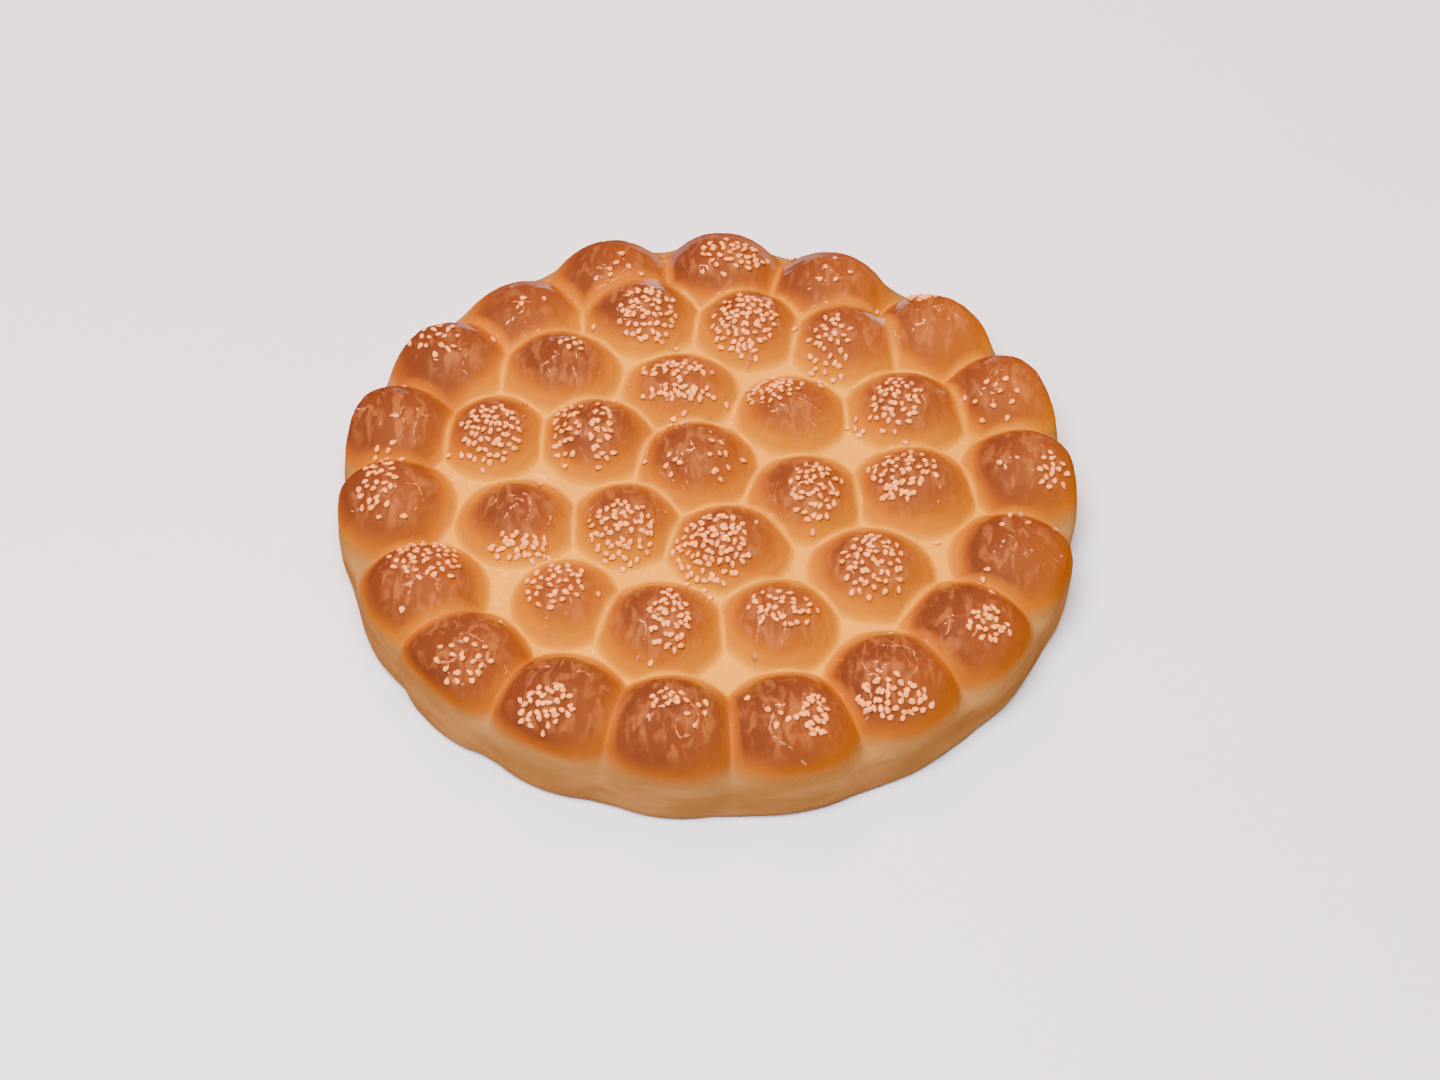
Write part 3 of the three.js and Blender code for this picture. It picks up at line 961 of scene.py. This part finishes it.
@dataclass
class Syrup:
    """Thin threads and drips of set syrup that stand a little proud of the crust.

    A thread swells into beads that are stouter than it, and thins out between them and at its ends.
    A curl's sizes are in millimetres.
    """

    balls: Balls
    pan: Pan
    step: float = 0.6 * MM
    sunk: float = 0.2 * MM
    shake: float = 2.4 * MM
    shake_grain: float = 260.0
    sides: int = 6
    stouter: float = 2.7
    bead_grain: float = 520.0
    bead_slope: float = 6.0
    bead_start: float = -2.3
    between_beads: float = 0.04
    end_least: float = 0.02
    end_power: float = 0.4
    seed: int = 11
    curls_per_bun: int = 2
    curl_places: int = 4
    curl_step: float = 2.4
    curl_spread: float = 6.5
    curl_bend: float = 0.8
    curl_wander: float = 0.35
    curl_width: Span = (0.25, 0.4)
    threads: tuple[Thread, ...] = (
        Thread(3, 9, 0.43, ((-8, 4), (-9, -1), (-6, -4), (-7, -9), (-3, -13), (2, -16), (7, -20))),
        Thread(3, 9, 0.28, ((3, 5), (8, 4), (11, 0), (10, -5))),
        Thread(3, 8, 0.38, ((-9, 7), (-2, 8), (6, 7), (8, 1), (7, -5))),
        Thread(3, 8, 0.33, ((-12, 1), (-9, -3), (-8, -10), (-7, -17), (-8, -22))),
        Thread(3, 10, 0.38, ((-8, 3), (-2, 6), (5, 4), (9, -1), (8, -8), (3, -10), (2, -4))),
        Thread(3, 12, 0.38, ((-2, 3), (4, 2), (9, -3), (8, -10), (4, -15), (-1, -13), (-3, -7))),
        Thread(3, 12, 0.28, ((11, -3), (15, -7), (14, -13))),
        Thread(3, 13, 0.38, ((-3, 4), (-2, -2), (-3, -9), (-6, -15))),
        Thread(3, 13, 0.28, ((6, 4), (5, -2), (8, -7), (7, -12), (9, -15))),
        Thread(3, 15, 0.38, ((4, 5), (3, -1), (4, -7), (2, -13))),
        Thread(3, 15, 0.33, ((8, 4), (9, -2), (8, -9), (10, -14))),
        Thread(3, 14, 0.33, ((5, 2), (10, 0), (11, -6), (8, -11))),
        Thread(2, 6, 0.48, ((-8, -1), (-7, -8), (-8, -14), (-8, -21))),
        Thread(2, 6, 0.38, ((1, -1), (2, -8), (1, -15))),
        Thread(2, 7, 0.38, ((-4, 5), (-6, -1), (-5, -8), (-7, -14), (-8, -20))),
        Thread(2, 8, 0.38, ((-6, 1), (-5, -5), (-6, -12), (-5, -18))),
        Thread(2, 8, 0.28, ((1, 0), (2, -6), (1, -13))),
        Thread(2, 9, 0.38, ((-4, 4), (3, 5), (5, -1), (4, -7))),
        Thread(2, 9, 0.33, ((9, 4), (12, -1), (11, -8))),
        Thread(2, 5, 0.38, ((-6, 3), (-8, -3), (-6, -11), (-7, -17))),
        Thread(2, 4, 0.33, ((3, 0), (8, -2), (9, -9), (6, -13))),
        Thread(1, 1, 0.33, ((2, 0), (8, -3), (13, -6))),
        Thread(1, 1, 0.28, ((4, -8), (9, -10), (13, -11))),
        Thread(1, 2, 0.33, ((-12, -3), (-11, -9), (-8, -14))),
        Thread(0, 0, 0.38, ((-3, 5), (-2, -1), (-4, -8), (-3, -15))),
        Thread(0, 0, 0.28, ((-14, -9), (-9, -13), (-3, -17))),
        Thread(3, 4, 0.33, ((-6, 1), (-4, -4), (-5, -10), (-3, -15))),
        Thread(3, 4, 0.28, ((2, 2), (3, -4), (1, -9), (3, -14))),
        Thread(3, 3, 0.33, ((-8, 3), (-2, 4), (4, 1), (6, -4))),
        Thread(3, 2, 0.28, ((-5, 2), (0, 1), (4, -3))),
        Thread(2, 1, 0.48, ((0, -13), (1, -18), (0, -23))),
        Thread(2, 0, 0.33, ((-9, -1), (-8, -8), (-10, -14))),
        Thread(2, 11, 0.33, ((-6, 3), (-2, -1), (-4, -7), (0, -12))),
        Thread(2, 11, 0.38, ((6, 1), (5, -6), (7, -13))),
        Thread(3, 17, 0.28, ((-10, -1), (-4, 1), (3, 0))),
        Thread(3, 16, 0.28, ((2, 1), (6, -3), (5, -9))),
        Thread(3, 7, 0.33, ((-8, 1), (-6, -5), (-9, -11))),
        Thread(3, 6, 0.28, ((-5, 3), (0, -1), (-2, -8))),
    )

    def curls(self) -> list[Thread]:
        """Short curls that wander over every dome, the same at every run.

        Returns:
            The curls as threads.
        """
        dice = np.random.default_rng(self.seed)
        made = []
        for ring, sizes in enumerate(self.balls.rings):
            for bun in range(len(sizes.reach)):
                for _ in range(self.curls_per_bun):
                    place = dice.normal(0.0, self.curl_spread, 2)
                    heading = dice.uniform(-math.pi, math.pi)
                    bend = dice.choice([-self.curl_bend, self.curl_bend])
                    places = []
                    for _ in range(self.curl_places):
                        places.append((float(place[0]), float(place[1])))
                        heading += bend + dice.normal(0.0, self.curl_wander)
                        ahead = np.array([math.sin(heading), math.cos(heading)])
                        place = place + self.curl_step * ahead
                    width = float(dice.uniform(*self.curl_width))
                    made.append(Thread(ring, bun, width, tuple(places)))
        return made

    def routes(self) -> bpy.types.Object:
        """The threads as plan lines that carry their width.

        Returns:
            The object that holds them.
        """
        middles = [self.balls.middles(ring) for ring in self.balls.rings]
        points: list[list[float]] = []
        edges: list[tuple[int, int]] = []
        width: list[float] = []
        for thread in (*self.threads, *self.curls()):
            middle = middles[thread.ring][thread.bun]
            for number, (east, north) in enumerate(thread.places):
                if number:
                    edges.append((len(points) - 1, len(points)))
                points.append([middle[0] + east * MM, middle[1] + north * MM, 0.0])
                width.append(thread.width * self.stouter * MM)
        return point_mesh("routes of syrup", np.array(points), edges=edges, width=np.array(width))

    def beads(self, bench: ShapeTree, place: Any) -> Socket:
        """How far a thread swells and thins along its way.

        Args:
            bench: The threads' tree.
            place: Each point's own place.

        Returns:
            The part of the thread's width that it has at each point.
        """
        along = bench.add("GeometryNodeSplineParameter").outputs["Factor"]
        ends = bench.times(bench.times(along, 4.0), bench.minus(1.0, along))
        ends = bench.math("POWER", bench.larger(ends, self.end_least), self.end_power)
        swollen = bench.math("MULTIPLY_ADD", bench.noise(place, self.bead_grain, 1.0),
                             self.bead_slope, self.bead_start)
        return bench.times(ends, bench.larger(swollen, self.between_beads))

    def build(self, crust: bpy.types.Object, finish: bpy.types.Material) -> bpy.types.Object:
        """Builds all the threads as one piece.

        Args:
            crust: What they lie on.
            finish: Their material.

        Returns:
            The threads.
        """
        bench = ShapeTree("syrup down domes")
        ground = bench.shape("Crust", crust)
        lines = bench.add("GeometryNodeMeshToCurve", None, {"Mesh": bench.start.outputs[0]}).outputs[0]
        bent = bench.add("GeometryNodeCurveSplineType", {"spline_type": "CATMULL_ROM"},
                         {"Curve": lines}).outputs[0]
        step, sunk, shake = bench.sizes(self, "step", "sunk", "shake")
        even = bench.add("GeometryNodeResampleCurve", {"mode": "LENGTH"},
                         {"Curve": bent, "Length": step}).outputs[0]
        place = bench.position()
        grain = bench.add("ShaderNodeTexNoise", None,
                          {"Vector": place, "Scale": self.shake_grain, "Detail": 1.0})
        shift = bench.vector("SUBTRACT", grain.outputs["Color"], (0.5,) * 3)
        shaken = bench.vector("ADD", place, bench.scaled(shift, shake))
        hit, outward = self.pan.seat(bench, ground, shaken)
        laid = bench.moved(even, bench.vector("SUBTRACT", hit, bench.scaled(outward, sunk)))
        girth = bench.times(bench.attribute("width"), self.beads(bench, place))
        ring = bench.add("GeometryNodeCurvePrimitiveCircle", None,
                         {"Resolution": self.sides, "Radius": 0.5}).outputs[0]
        tube = bench.add("GeometryNodeCurveToMesh", None, {
            "Curve": laid, "Profile Curve": ring, "Scale": girth, "Fill Caps": True}).outputs[0]
        bench.finished(tube, finish)
        return bench.grown(self.routes(), Piece.SYRUP)


class SurfaceTree(NodeBench):
    """A material's node tree, round its Principled BSDF."""

    def __init__(self, name: str) -> None:
        """Starts a material with a bare shader.

        Args:
            name: The material's name.
        """
        self.material = bpy.data.materials.new(name)
        self.material.use_nodes = True
        super().__init__(self.material.node_tree)
        self.shader = self.tree.nodes["Principled BSDF"]

    def kept(self, name: str, part: str = "Fac") -> Socket:
        """One output of the node that reads an attribute of the piece."""
        node = self.add("ShaderNodeAttribute", {"attribute_type": "GEOMETRY", "attribute_name": name})
        return node.outputs[part]

    def place(self) -> Socket:
        """The place on the object."""
        return self.add("ShaderNodeTexCoord").outputs["Object"]

    def ramp(self, value: Any, stops: Iterable[tuple[float, Colour]]) -> Socket:
        """A run of colours.

        Args:
            value: Where on the run, from 0 to 1.
            stops: The places and colours.

        Returns:
            The colour.
        """
        node = self.add("ShaderNodeValToRGB", None, {0: value})
        elements = node.color_ramp.elements
        while len(elements) > 1:
            elements.remove(elements[-1])
        for number, (place, colour) in enumerate(stops):
            element = elements[0] if number == 0 else elements.new(place)
            element.position = place
            element.color = (*colour, 1.0)
        return node.outputs["Color"]

    def mixed(self, share: Any, under: Any, over: Any) -> Socket:
        """Two colours mixed.

        Args:
            share: How much of the second.
            under: The first colour.
            over: The second colour.

        Returns:
            The mixed colour.
        """
        node = self.add("ShaderNodeMix", {"data_type": "RGBA"})
        colours = [s for s in node.inputs if s.type == "RGBA"]
        self.feed(node.inputs[0], share)
        for socket, source in zip(colours, (under, over)):
            self.feed(socket, (*source, 1.0) if isinstance(source, tuple) else source)
        return next(s for s in node.outputs if s.type == "RGBA")

    def bump(self, height: Any, distance: float, strength: float) -> None:
        """Gives the shader a relief, whose height of 1 stands for a distance."""
        node = self.add("ShaderNodeBump", None, {
            "Height": height, "Distance": distance, "Strength": strength})
        self.feed(self.shader.inputs["Normal"], node.outputs[0])

    def film(self, group: bpy.types.NodeTree, place: Any, scale: float) -> bpy.types.Node:
        """The group of the syrup's film, read at a place and a scale."""
        return self.add("ShaderNodeGroup", {"node_tree": group}, {"Place": place, "Scale": scale})

    def dress(self, **sources: Any) -> None:
        """Feeds the shader's own inputs, each named in small letters, with a socket or a value."""
        for name, source in sources.items():
            own_name = name.replace("_", " ").title().replace("Ior", "IOR")
            self.feed(self.shader.inputs[own_name], source)


def sticky_film() -> bpy.types.NodeTree:
    """The unevenness that set syrup gives to whatever it coats.

    Returns:
        A shader group with the inputs Place and Scale and the outputs Height and Mask.
    """
    group = bpy.data.node_groups.new("sticky film", "ShaderNodeTree")
    for name, way, kind in (("Place", "INPUT", "Vector"), ("Scale", "INPUT", "Float"),
                            ("Height", "OUTPUT", "Float"), ("Mask", "OUTPUT", "Float")):
        group.interface.new_socket(name, in_out=way, socket_type=f"NodeSocket{kind}")
    bench = NodeBench(group)
    start = group.nodes.new("NodeGroupInput")
    end = group.nodes.new("NodeGroupOutput")
    warp, fine_grain, fine_share = 0.8, 4.0, 0.2
    mask_starts, mask_full = 0.42, 0.62
    place = bench.scaled(start.outputs["Place"], start.outputs["Scale"])
    broad = bench.noise(place, 1.0, distortion=warp)
    fine = bench.noise(place, fine_grain, roughness=0.6)
    bench.feed(end.inputs["Height"], bench.math("MULTIPLY_ADD", fine, fine_share, broad))
    bench.feed(end.inputs["Mask"], bench.ease(broad, mask_starts, mask_full))
    return group


@dataclass(frozen=True)
class CrustFinish:
    """Baked crust under syrup: cream in the seams, gold on the flanks, brown on the domes.

    A bun's rise over the crumb and its way from a seam are in millimetres, and heights and reaches
    in metres. A span says where something starts and where it is in full, and the roughness is that
    of the glazed top and that of the wall.
    """

    film: bpy.types.NodeTree
    bakes: tuple[tuple[float, Colour], ...] = (
        (0.0, (0.69, 0.255, 0.012)),
        (0.08, (0.51, 0.177, 0.0005)),
        (0.2, (0.41, 0.116, 0.0005)),
        (0.32, (0.352, 0.088, 0.001)),
        (0.45, (0.295, 0.068, 0.003)),
        (0.6, (0.243, 0.055, 0.006)),
        (0.75, (0.194, 0.043, 0.008)),
        (0.88, (0.153, 0.034, 0.009)),
        (1.0, (0.12, 0.027, 0.009)),
    )
    cloud_grain: float = 75.0
    # Painted shade: the way towards each dome's darker, west side, and how much darker it gets.
    shaded_side: Triple = (-0.9, 0.15, 0.0)
    side_shade_share: float = 0.0145
    flank: float = 0.205
    dome_cloud: float = 3.0
    dome_foot: Span = (-0.5, 4.0)
    dome_top: Span = (4.0, 11.5)
    dome_extra: float = 0.13
    dome_seam: Span = (0.0, 8.0)
    dome_seam_bake: float = 0.25
    rim_from: Span = (0.05, 0.6)
    rim_cloud: float = 4.0 * MM
    rim_dip: float = 1.5 * MM
    rim_dip_seam: Span = (0.0, 5.0)
    rim_near_slope: float = 1.5
    rim_near_start: float = -0.9
    rim_near_least: float = 0.18
    rim_foot: Span = (18.0 * MM, 26.0 * MM)
    rim_foot_bake: float = 0.6
    rim_top: Span = (24.0 * MM, 33.0 * MM)
    rim_extra: float = 0.05
    rim_free: Span = (2.5, 13.0)
    rim_seam: Span = (0.0, 2.2)
    rim_seam_bake: float = 0.75
    # Painted sheen: pale patches over the dome tops that stand for the glaze's broad reflection of the
    # ceiling light.
    painted_sheen_colour: Colour = (0.36, 0.104, 0.024)
    painted_sheen: float = 0.5
    painted_sheen_grain: Triple = (280.0, 120.0, 120.0)
    painted_sheen_noise: Span = (0.45, 0.68)
    painted_sheen_height: Span = (29.0 * MM, 36.0 * MM)
    wall: Colour = (0.255, 0.103, 0.026)
    wall_light: Colour = (0.325, 0.14, 0.04)
    # Darker foot of the wall: partly browned crust, partly painted contact shade.
    browned_and_shaded_foot: Colour = (0.18, 0.07, 0.02)
    wall_grain: Triple = (32.0, 32.0, 120.0)
    wall_noise: Span = (0.38, 0.66)
    wall_foot: Span = (5.0 * MM, 0.5 * MM)
    wall_foot_share: float = 0.35
    wall_height: Span = (27.0 * MM, 20.0 * MM)
    wall_reach: Span = (118.0 * MM, 128.0 * MM)
    film_grain: float = 300.0
    pore_grain: float = 1400.0
    pore_depth: float = 0.06
    relief: float = 0.5 * MM
    relief_strength: float = 0.6
    roughness: Span = (0.3, 0.7)
    glaze: float = 0.75
    glaze_height: Span = (24.0 * MM, 33.0 * MM)
    glaze_reach: Span = (127.0 * MM, 112.0 * MM)

    def tone_with_painted_shade(self, bench: SurfaceTree) -> Socket:
        """A bun's bake, with painted shade that makes each dome a little darker on its west side."""
        lean = bench.vector("DOT_PRODUCT", bench.kept("dome", "Vector"), self.shaded_side)
        return bench.math("MULTIPLY_ADD", lean, self.side_shade_share / MM, bench.kept("tone"))

    def on_domes(self, bench: SurfaceTree, cloud: Any) -> Socket:
        """How far the crust over the crumb has browned, by its rise and its way from a seam.

        Args:
            bench: The material's tree.
            cloud: An unevenness about 0.

        Returns:
            The bake, from 0 to 1.
        """
        risen = bench.math("MULTIPLY_ADD", cloud, self.dome_cloud, bench.kept("rise"))
        foot = bench.ease(risen, *self.dome_foot, 0.0, self.flank)
        # The bun's bake with the painted shade on each dome's west side.
        over = bench.minus(self.tone_with_painted_shade(bench), self.flank - self.dome_extra)
        top = bench.times(bench.ease(risen, *self.dome_top), over)
        free = bench.ease(bench.kept("seam"), *self.dome_seam, self.dome_seam_bake)
        return bench.times(bench.plus(foot, top), free)

    def on_rim(self, bench: SurfaceTree, cloud: Any, height: Any) -> Socket:
        """How far the crust at the rim has browned, by its height and its way from a seam.

        Args:
            bench: The material's tree.
            cloud: An unevenness about 0.
            height: The height over the base.

        Returns:
            The bake, from 0 to 1.
        """
        # tone carries the painted shade on each dome's west side.
        seam, tone = bench.kept("seam"), self.tone_with_painted_shade(bench)
        level = bench.math("MULTIPLY_ADD", cloud, self.rim_cloud, height)
        level = bench.minus(level, bench.ease(seam, *self.rim_dip_seam, self.rim_dip, 0.0))
        near = bench.math("MULTIPLY_ADD", bench.kept("tone"), self.rim_near_slope, self.rim_near_start)
        near = bench.larger(near, self.rim_near_least)
        foot = bench.times(bench.ease(level, *self.rim_foot, self.rim_foot_bake), near)
        own = bench.times(bench.ease(level, *self.rim_top), bench.ease(seam, *self.rim_free))
        over = bench.minus(tone, bench.minus(near, self.rim_extra))
        top = bench.times(own, over)
        line = bench.ease(seam, *self.rim_seam, self.rim_seam_bake)
        return bench.times(bench.plus(foot, top), line)

    def on_wall(self, bench: SurfaceTree, place: Any, height: Any) -> Socket:
        """The colour of the side that the pan held: pale, in soft bands, darker at the foot, partly
        browned there and partly painted contact shade.

        Args:
            bench: The material's tree.
            place: The place on the object.
            height: The height over the base.

        Returns:
            The colour.
        """
        bands = bench.noise(bench.vector("MULTIPLY", place, self.wall_grain), 1.0, 3.0)
        wall = bench.mixed(bench.ease(bands, *self.wall_noise), self.wall, self.wall_light)
        # Darker towards the foot: partly browned crust, partly painted contact shade.
        foot = bench.ease(height, *self.wall_foot, 0.0, self.wall_foot_share)
        return bench.mixed(foot, wall, self.browned_and_shaded_foot)

    def build(self) -> bpy.types.Material:
        """Makes the material.

        Returns:
            The material.
        """
        bench = SurfaceTree("baked crust under syrup")
        place = bench.place()
        across, along, height = bench.split(place)
        cloud = bench.minus(bench.noise(place, self.cloud_grain, 3.0, 0.55), 0.5)
        shoulder = bench.ease(bench.kept("rim"), *self.rim_from)
        inner = bench.times(self.on_domes(bench, cloud), bench.minus(1.0, shoulder))
        outer = bench.times(self.on_rim(bench, cloud, height), shoulder)
        crust = bench.ramp(bench.plus(inner, outer), self.bakes)
        # Painted sheen: pale patches high on the domes, mixed into the crust's colour in place of the
        # glaze's broad reflection.
        run = bench.vector("MULTIPLY", place, self.painted_sheen_grain)
        painted_sheen = bench.ease(bench.noise(run, 1.0, 2.0, 0.5, 0.7), *self.painted_sheen_noise)
        painted_sheen = bench.times(painted_sheen, bench.ease(height, *self.painted_sheen_height))
        crust = bench.mixed(bench.times(painted_sheen, self.painted_sheen), crust, self.painted_sheen_colour)
        reach = bench.vector("LENGTH", bench.combine(across, along, 0.0))
        low = bench.times(bench.ease(height, *self.wall_height), bench.ease(reach, *self.wall_reach))
        glazed = bench.times(bench.ease(height, *self.glaze_height),
                             bench.ease(reach, *self.glaze_reach))
        pores = bench.noise(place, self.pore_grain)
        film = bench.film(self.film, place, self.film_grain).outputs["Height"]
        bench.bump(bench.math("MULTIPLY_ADD", pores, self.pore_depth, film), self.relief,
                   self.relief_strength)
        bench.dress(base_color=bench.mixed(low, crust, self.on_wall(bench, place, height)),
                    roughness=bench.ease(low, 0.0, 1.0, *self.roughness),
                    coat_weight=bench.times(glazed, self.glaze),
                    coat_roughness=0.08, coat_ior=1.38, specular_ior_level=0.0)
        return bench.material


@dataclass(frozen=True)
class SesameFinish:
    """Cream white seeds, some toasted, sticky with syrup, darker round their edges with pooled syrup
    and painted contact shade.
    """

    film: bpy.types.NodeTree
    film_grain: float = 900.0
    pale: Colour = (0.96, 0.325, 0.1)
    toasted: Colour = (0.62, 0.165, 0.016)
    # Darker towards each seed's edges and underside: syrup pooled there, and painted contact shade.
    soaked_and_shaded: Colour = (0.36, 0.085, 0.012)
    shaded_soaked_crown: Span = (0.75, 0.1)
    shaded_soaked_share: float = 0.85
    toasted_share: float = 0.6
    film_share: float = 0.15
    relief: float = 0.08 * MM
    relief_strength: float = 0.4

    def build(self) -> bpy.types.Material:
        """Makes the material.

        Returns:
            The material.
        """
        bench = SurfaceTree("sesame")
        film = bench.film(self.film, bench.place(), self.film_grain)
        tone = bench.kept("tone")
        toast = bench.times(bench.times(tone, tone), self.toasted_share)
        share = bench.math("MULTIPLY_ADD", film.outputs["Mask"], self.film_share, toast)
        seed = bench.mixed(share, self.pale, self.toasted)
        # Pooled syrup and painted contact shade: the seed darkens from its crown towards its edges.
        brim_shade_and_syrup = bench.ease(bench.kept("crown"), *self.shaded_soaked_crown, 0.0, self.shaded_soaked_share)
        bench.bump(film.outputs["Height"], self.relief, self.relief_strength)
        bench.dress(base_color=bench.mixed(brim_shade_and_syrup, seed, self.soaked_and_shaded), roughness=0.25,
                    specular_ior_level=0.6, coat_weight=0.6, coat_roughness=0.1)
        return bench.material


@dataclass(frozen=True)
class SyrupFinish:
    """Clear amber syrup, set to a gloss."""

    film: bpy.types.NodeTree
    film_grain: float = 300.0
    thin: Colour = (0.45, 0.125, 0.038)
    thick: Colour = (0.34, 0.088, 0.02)
    relief: float = 0.05 * MM
    relief_strength: float = 0.3

    def build(self) -> bpy.types.Material:
        """Makes the material.

        Returns:
            The material.
        """
        bench = SurfaceTree("set syrup")
        film = bench.film(self.film, bench.place(), self.film_grain)
        bench.bump(film.outputs["Height"], self.relief, self.relief_strength)
        bench.dress(base_color=bench.mixed(film.outputs["Mask"], self.thin, self.thick),
                    roughness=0.12, coat_weight=1.0, coat_roughness=0.03)
        return bench.material


@dataclass(frozen=True)
class FloorFinish:
    """A pale plain floor."""

    colour: Colour = (0.80, 0.727, 0.762)
    darker: Colour = (0.785, 0.712, 0.747)
    grain: float = 9.0

    def build(self) -> bpy.types.Material:
        """Makes the material.

        Returns:
            The material.
        """
        bench = SurfaceTree("pale floor")
        cloud = bench.noise(bench.place(), self.grain)
        bench.dress(base_color=bench.mixed(cloud, self.colour, self.darker), roughness=0.8,
                    specular_ior_level=0.2)
        return bench.material


@dataclass(frozen=True)
class Softbox:
    """An area light that faces a point of the loaf, at a turn clockwise from the back, in degrees."""

    name: str
    turn: float
    elevation: float
    distance: float
    wide: float
    high: float
    power: float
    shows: bool
    colour: Colour = (1.0, 1.0, 1.0)

    def build(self, target: Vector) -> None:
        """Makes the light.

        Args:
            target: What it faces.
        """
        lamp = bpy.data.lights.new(self.name, "AREA")
        lamp.shape = "RECTANGLE"
        lamp.size, lamp.size_y = self.wide, self.high
        lamp.energy, lamp.color = self.power, self.colour
        made = bpy.data.objects.new(self.name, lamp)
        turn, rise = math.radians(self.turn), math.radians(self.elevation)
        out = Vector((math.sin(turn) * math.cos(rise), math.cos(turn) * math.cos(rise), math.sin(rise)))
        made.location = target + out * self.distance
        made.rotation_euler = out.to_track_quat("Z", "Y").to_euler()
        made.visible_glossy = self.shows
        bpy.context.scene.collection.objects.link(made)


@dataclass
class Studio:
    """The pale floor, the soft lights and the camera, whose angles are in degrees."""

    floor_finish: FloorFinish = field(default_factory=FloorFinish)
    floor_half: float = 4.0
    elevation: float = 48.17
    roll: float = 1.94
    distance: float = 1.3
    lens: float = 88.25
    target: Triple = (0.00457, -0.00304, 0.0)
    ambient: float = 0.12
    air: Colour = (1.0, 0.985, 0.99)
    boxes: tuple[Softbox, ...] = (
        Softbox("window behind", -16.0, 56.0, 1.6, 0.18, 0.13, 10.0, True, (1.0, 0.36, 0.17)),
        Softbox("window left", -52.0, 60.0, 1.6, 0.16, 0.11, 8.0, True, (1.0, 0.36, 0.17)),
        Softbox("ceiling", 0.0, 82.0, 1.8, 2.4, 1.8, 17.0, True, (1.0, 0.6, 0.38)),
        Softbox("key", 200.0, 68.0, 2.0, 1.2, 1.2, 127.0, False, (0.945, 1.02, 1.06)),
    )

    def floor(self) -> None:
        """Makes the floor."""
        h = self.floor_half
        made = point_mesh("floor", np.array([[-h, -h, 0], [h, -h, 0], [h, h, 0], [-h, h, 0]]),
                          [(0, 1, 2, 3)])
        made.data.materials.append(self.floor_finish.build())

    def light(self) -> None:
        """Makes the ambient light and the softboxes."""
        world = bpy.data.worlds.new("soft room")
        world.use_nodes = True
        backdrop = world.node_tree.nodes["Background"]
        backdrop.inputs["Color"].default_value = (*self.air, 1.0)
        backdrop.inputs["Strength"].default_value = self.ambient
        bpy.context.scene.world = world
        for box in self.boxes:
            box.build(Vector(self.target))

    def camera(self) -> None:
        """Makes the camera, which faces the target from the front and is rolled a little."""
        rise, roll = math.radians(self.elevation), math.radians(self.roll)
        back = Vector((0.0, -math.cos(rise), math.sin(rise)))
        level_right = Vector((1.0, 0.0, 0.0))
        level_up = back.cross(level_right)
        right = level_right * math.cos(roll) + level_up * math.sin(roll)
        up = level_up * math.cos(roll) - level_right * math.sin(roll)
        eye = Vector(self.target) + back * self.distance
        made = bpy.data.objects.new("camera", bpy.data.cameras.new("camera"))
        made.data.lens = self.lens
        made.matrix_world = Matrix.Translation(eye) @ Matrix((right, up, back)).transposed().to_4x4()
        bpy.context.scene.collection.objects.link(made)
        bpy.context.scene.camera = made

    def build(self) -> None:
        """Makes the floor, the lights and the camera."""
        self.floor()
        self.light()
        self.camera()


def registered(made: bpy.types.Object) -> None:
    """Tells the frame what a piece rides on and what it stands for.

    Args:
        made: The piece's object.
    """
    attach(made, "root")
    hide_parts("loaf")
    triangles = sum(len(face.vertices) - 2 for face in made.data.polygons)
    LOG.info("%s: %d triangles", made.name, triangles)


def main() -> None:
    """Builds the bread and the studio."""
    logging.basicConfig(level=logging.INFO, format="%(name)s: %(message)s")
    balls, pan, film = Balls(), Pan(), sticky_film()
    crust = Loaf(balls, pan).build(CrustFinish(film).build())
    registered(crust)
    registered(Sesame(balls, pan).build(crust, SesameFinish(film).build()))
    registered(Syrup(balls, pan).build(crust, SyrupFinish(film).build()))
    Studio().build()


if __name__ == "__main__":
    main()
